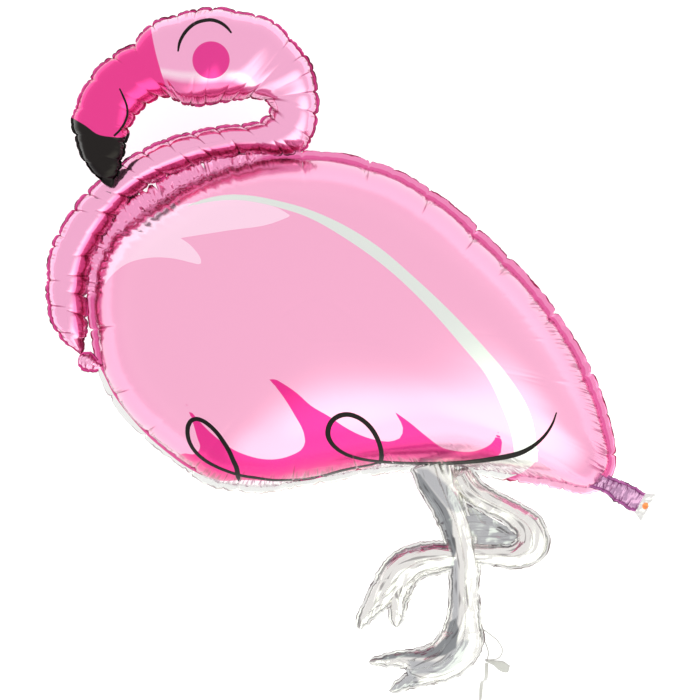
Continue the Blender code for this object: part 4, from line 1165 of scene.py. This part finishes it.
# Tail tube and valve film
# The filling tube at the tail is a short flat tube of pinched film; the clear valve film that is
# welded inside it stands out of its open end, with a printed mark that shows where to fill.
LEG_WELD = (0.005, 0.005)
TAIL_TUBE = [
    (592, 476, 12, 0.35, 0), (600, 481, 9, 0.4, 0), (606, 484, 8, 0.4, 0), (617, 490, 10.5, 0.3, 0),
    (630, 497.5, 11.5, 0.25, 0), (640, 503, 11, 0.2, 0),
]
# The weld's edge colour and the fold colour here are painted shade
tube_print = printed_film("mauve printed film of the filling tube", "#bd8eb4", [],
                          ("#ae629c", "#9a4a88", 0.8, 0.8, "#8a5a86"), "#a06a98", 0.2)
plain_tube("tail_tube", TAIL_TUBE, 90, LEG_WELD, tube_print, 200, 1.2, 9.0, 7.0, (1.8, 13.0, 8.0, 63),
           ends=(0.0, 0.0))
TUBE_END = place(*TAIL_TUBE[-1][:2])
VALVE_FILM_LENGTH = 0.0135
VALVE_FILM_START = 0.0003
VALVE_FILM_HALVES = (11.0, 15.5)
tail_way = unit(TUBE_END - place(*TAIL_TUBE[-2][:2]))
tail_side = np.array([-tail_way[1], tail_way[0]])
along_film, across_film = np.meshgrid(np.linspace(0.0, 1.0, 22), np.linspace(-1.0, 1.0, 34), indexing="ij")
film_half = (VALVE_FILM_HALVES[0] + (VALVE_FILM_HALVES[1] - VALVE_FILM_HALVES[0]) * along_film) * ROW
film_flat = (TUBE_END + tail_way * (VALVE_FILM_START + VALVE_FILM_LENGTH * along_film)[..., None]
             + tail_side * (film_half * across_film)[..., None])
film_fold = folded(across_film * 4.0 + 9.0, along_film * 1.5, 71) - 0.5
film_wave = 0.0016 * film_fold * np.minimum(1.0, 3.0 * along_film)
valve_sides = [np.concatenate([film_flat, (SEAM_Z + film_wave + h)[..., None]], axis=-1)
               for h in (FILM, -FILM)]
valve_points = np.concatenate([valve_sides[0], valve_sides[1][:, ::-1]], axis=1)
valve_count, valve_wide = valve_points.shape[:2]
valve_faces = [*grid_faces(valve_count, valve_wide, wrap_columns=True), range(valve_wide - 1, -1, -1),
               range((valve_count - 1) * valve_wide, valve_count * valve_wide)]
mark_distance = 3.0 - np.hypot(((along_film - 0.62) * VALVE_FILM_LENGTH) / ROW,
                               across_film * film_half / ROW / 1.2)

# Clear polyethylene, blown thin: it shows the silver film behind it, with a soft crinkled shine
valve_film, tree, shader = new_material("clear polyethylene valve film", Metallic=0.55, Roughness=0.22,
                                        Coat_Weight=0.3)
mark = add(tree, "ShaderNodeAttribute", attribute_name="mark")
mark = add(tree, "ShaderNodeMapRange", [(0, mark.outputs["Fac"])], in_1=-0.4, in_2=0.4)
tint = add(tree, "ShaderNodeMix", [(0, mark.outputs[0])], data_type="RGBA",
           in_6=linear("#dfdcdc"), in_7=linear("#ee8a4a"))
tree.links.new(tint.outputs[2], shader.inputs["Base Color"])
new_piece("valve_end", valve_points, valve_faces, valve_film, ("valve_film",),
          {"mark": np.concatenate([mark_distance, mark_distance[:, ::-1]], axis=1).ravel()})

# Legs and feet
# Bare aluminised film, not printed: long thin chambers that crumple at the knees and the toes, with
# a flat piece of the same film between the standing leg and the bent one.
STANDING_LEG = [
    (432, 458, 24, 0.55, 0), (438, 478, 23, 0.6, 0), (449, 506, 18, 0.8, 0), (458, 532, 16.5, 0.85, 0),
    (464, 560, 16.5, 0.85, 0), (464, 592, 15.5, 0.85, 0), (464.5, 620, 18, 0.85, 0), (461, 642, 23, 0.75, 0),
    (443, 660, 21, 0.7, 0), (422, 667, 18, 0.6, 0), (406, 669, 13, 0.45, 0),
]
STANDING_TOES = [
    [(440, 654, 13, 0.9, 0), (418, 660, 12.5, 0.75, 0), (398, 659, 9, 0.7, 0), (381, 661, 6, 0.65, 0),
     (369, 662, 3.5, 0.6, 0)],
    [(440, 668, 12, 0.9, 0), (420, 675, 12, 0.75, 0), (408, 681, 9, 0.7, 0), (397, 687, 6, 0.65, 0),
     (389, 691, 3.5, 0.6, 0)],
]
BENT_LEG = [
    (458, 470, 15, 0.6, 0), (470, 489, 14, 0.8, 0), (490, 502, 13.5, 0.85, 0), (512, 513, 13.5, 0.85, 0),
    (529, 528, 16, 0.8, 0), (531, 545, 18, 0.7, 0), (516, 555, 14, 0.75, 0), (495, 554, 12.5, 0.85, 0),
    (466, 554, 13.5, 0.85, 0), (440, 557, 17, 0.8, 0), (416, 562, 18, 0.8, 0), (400, 573, 20, 0.7, 0),
    (391, 588, 19, 0.5, 0), (387, 598, 14, 0.4, 0),
]
BENT_TOES = [
    [(402, 568, 14, 0.9, 0), (386, 590, 15.5, 0.72, 0), (373, 606, 11, 0.65, 0), (365, 617, 8, 0.65, 0),
     (359, 629, 4.5, 0.6, 0)],
    [(406, 570, 12, 0.9, 0), (399, 592, 13, 0.72, 0), (398, 606, 10, 0.7, 0), (397, 617, 8, 0.7, 0),
     (396, 627, 4, 0.6, 0)],
]
LEG_WEB = [(466, 504), (520, 534), (510, 545), (468, 544)]
# Painted reflections on the legs' folds: dark and grey patches that stand for the dark side of the studio
# that they mirror, as outlines in the picture
PAINTED_DARK_REFLECTIONS = [
    [(411, 470), (420, 474), (432, 490), (446, 508), (452, 520), (453, 538), (451, 550), (445, 537),
     (437, 518),
              (427, 501), (418, 485)],
    [(449, 622), (456, 618), (459, 630), (456, 648), (446, 655), (430, 658), (404, 657), (385, 660),
     (372, 659),
              (392, 654), (416, 652), (436, 646), (446, 636)],
    [(466, 506), (492, 514), (518, 531), (516, 537), (496, 524), (474, 515)],
    [(451, 536), (455, 538), (456, 552), (453, 560), (450, 548)],
]
PAINTED_GREY_REFLECTIONS = [
    [(413, 468), (428, 469), (446, 484), (462, 500), (468, 508), (457, 513), (446, 507), (433, 491),
     (420, 475)],
    [(450, 560), (458, 560), (459, 600), (458, 622), (452, 622), (451, 600)],
    [(398, 676), (407, 668), (414, 672), (421, 686), (410, 688), (398, 690), (390, 690)],
    [(399, 548), (420, 544), (446, 543), (446, 548), (420, 550), (400, 556), (388, 566), (386, 562)],
    [(408, 660), (440, 662), (462, 640), (470, 640), (462, 662), (444, 674), (412, 674)],
]
LEG_PAINTED_REFLECTIONS = (("painted_dark_reflection", PAINTED_DARK_REFLECTIONS), ("painted_grey_reflection", PAINTED_GREY_REFLECTIONS))
LENGTHWISE = 44.0
# The grey and dark layers are painted reflections of the studio on the folds; the weld's edge colour and the
# fold colour are painted shade
bare_film = printed_film("bare aluminised polyester film", "#e6e3e0",
                         [("painted_grey_reflection", "#b9b9bc", 2.0), ("painted_dark_reflection", "#8a8c8f", 1.2)],
                         ("#e4e2e0", "#a3a1a2", 0.3, 0.5, "#b3b1b2"), "#a9a7a8", 0.2,
                         stretch=(0.025, 0.5, 0.22), line_range=(0.57, 0.66), deep=0.0016)
for leg, leg_line, toes, count, spacing, cell, leg_seed, leg_fold, toe_seed, toe_fold in (
        ("standing", STANDING_LEG, STANDING_TOES, 340, 13.0, 9.0, 300, 65, 400, 67),
        ("bent", BENT_LEG, BENT_TOES, 400, 12.0, 8.0, 600, 70, 700, 73)):
    plain_tube(f"{leg}_leg", leg_line, count, LEG_WELD, bare_film, leg_seed, 1.5, 9.0, spacing,
               (1.8, LENGTHWISE, cell, leg_fold), painted_fold_shade=LEG_PAINTED_REFLECTIONS)
    for number, rows in enumerate(toes):
        plain_tube(f"{leg}_toe_{number}", rows, 110, LEG_WELD, bare_film, toe_seed + 60 * number,
                   1.0, 7.0, 9.0, (1.6, 18.0, 7.0, toe_fold + number), painted_fold_shade=LEG_PAINTED_REFLECTIONS)
web_u, web_v = np.meshgrid(np.linspace(0.0, 1.0, 60), np.linspace(0.0, 1.0, 50), indexing="ij")
web_corners = [np.array(place(*spot)) for spot in LEG_WEB]
web_first, web_second = ((1 - web_v)[..., None] * web_corners[a] + web_v[..., None] * web_corners[b]
                         for a, b in ((0, 3), (1, 2)))
web_flat = (1 - web_u)[..., None] * web_first + web_u[..., None] * web_second
web_wave = 0.0035 * (folded(web_u * 3.0, web_v * 2.2, 77) - 0.3)
web_sides = [np.concatenate([web_flat, (SEAM_Z + web_wave + h)[..., None]], axis=-1) for h in (FILM, -FILM)]
web_points = np.concatenate([web_sides[0][:, ::-1], web_sides[1]], axis=1)
web_faces = [*grid_faces(60, 100, wrap_columns=True), range(99, -1, -1), range(5900, 6000)]
web_count = web_points.size // 3
# The web carries a share of the painted grey and dark reflections
new_piece("leg_web", web_points, web_faces, bare_film, (),
          {"gather": web_points.reshape(-1, 3) / ROW,
           **{key: np.full(web_count, held) for key, held in (
               ("inwards", 8.0), ("painted_dark_reflection", -0.4), ("painted_grey_reflection", 1.2), ("crease_way", NO_CREASE),
               ("crease_end", 9.0), ("hatch", 0.4), ("edge", OFF_EDGE))}})

# Floor and light
# A pale studio floor and an almost even white tent of light, with a long oval softbox up towards the
# tail and the feet, and a smaller light low beyond the feet.
floor_size = 6.0
floor_mesh = bpy.data.meshes.new("floor")
floor_corners = [(x * floor_size, y * floor_size, -0.0004) for x, y in ((-1, -1), (1, -1), (1, 1), (-1, 1))]
floor_mesh.from_pydata(floor_corners, [], [(0, 1, 2, 3)])
floor_paint, tree, shader = new_material("pale studio floor", Roughness=0.6, Specular_IOR_Level=0.3,
                                         Emission_Strength=0.6)
shader.inputs["Base Color"].default_value = linear("#d5d5d5")
shader.inputs["Emission Color"].default_value = (1.0, 1.0, 1.0, 1.0)
floor_mesh.materials.append(floor_paint)
floor = bpy.data.objects.new("floor", floor_mesh)
bpy.context.scene.collection.objects.link(floor)

SOFTBOX_MIDDLE = (0.523, -0.483, 0.702)
SOFTBOX_ALONG = (0.669, 0.743, 0.0)
FRONT_LIGHT = (0.12, -0.91, 0.397)
sky = bpy.data.worlds.new("studio tent")
bpy.context.scene.world = sky
sky.use_nodes = True
tree = sky.node_tree
background = tree.nodes["Background"]
heading = add(tree, "ShaderNodeTexCoord")
parts = add(tree, "ShaderNodeSeparateXYZ", [(0, heading.outputs["Generated"])])
surround = add(tree, "ShaderNodeMapRange", [(0, parts.outputs[2])], interpolation_type="SMOOTHSTEP",
               in_1=0.0, in_2=0.5, in_3=1.06, in_4=1.0)
# The softbox is a long oval: cosine to its middle, plus a share of the square of the way along it
towards = add(tree, "ShaderNodeVectorMath", [(0, heading.outputs["Generated"])], operation="DOT_PRODUCT")
towards.inputs[1].default_value = SOFTBOX_MIDDLE
along_box = add(tree, "ShaderNodeVectorMath", [(0, heading.outputs["Generated"])], operation="DOT_PRODUCT")
along_box.inputs[1].default_value = SOFTBOX_ALONG
stretch = add(tree, "ShaderNodeMath", [(0, along_box.outputs["Value"])], operation="POWER", in_1=2.0)
stretch = add(tree, "ShaderNodeMath", [(0, stretch.outputs[0])], operation="MULTIPLY", in_1=0.36)
oval = add(tree, "ShaderNodeMath", [(0, towards.outputs["Value"]), (1, stretch.outputs[0])], operation="ADD")
softbox = add(tree, "ShaderNodeMapRange", [(0, oval.outputs[0])], interpolation_type="SMOOTHSTEP",
              in_1=0.81, in_2=0.985, in_3=0.0, in_4=1.0)
# A second, smaller light in front of the feet carries the glow down to the feather edge
in_front = add(tree, "ShaderNodeVectorMath", [(0, heading.outputs["Generated"])], operation="DOT_PRODUCT")
in_front.inputs[1].default_value = FRONT_LIGHT
in_front = add(tree, "ShaderNodeMapRange", [(0, in_front.outputs["Value"])],
               interpolation_type="SMOOTHSTEP", in_1=0.82, in_2=0.97, in_3=0.0, in_4=0.65)
softbox = add(tree, "ShaderNodeMath", [(0, softbox.outputs[0]), (1, in_front.outputs[0])],
              operation="MAXIMUM")
glow = add(tree, "ShaderNodeMix", [(0, softbox.outputs[0])], data_type="RGBA")
glow.inputs[6].default_value = (1.0, 1.0, 1.0, 1.0)
glow.inputs[7].default_value = (2.0, 2.14, 1.9, 1.0)
tree.links.new(glow.outputs[2], background.inputs["Color"])
tree.links.new(surround.outputs[0], background.inputs["Strength"])
bpy.context.scene.view_settings.view_transform = "Standard"
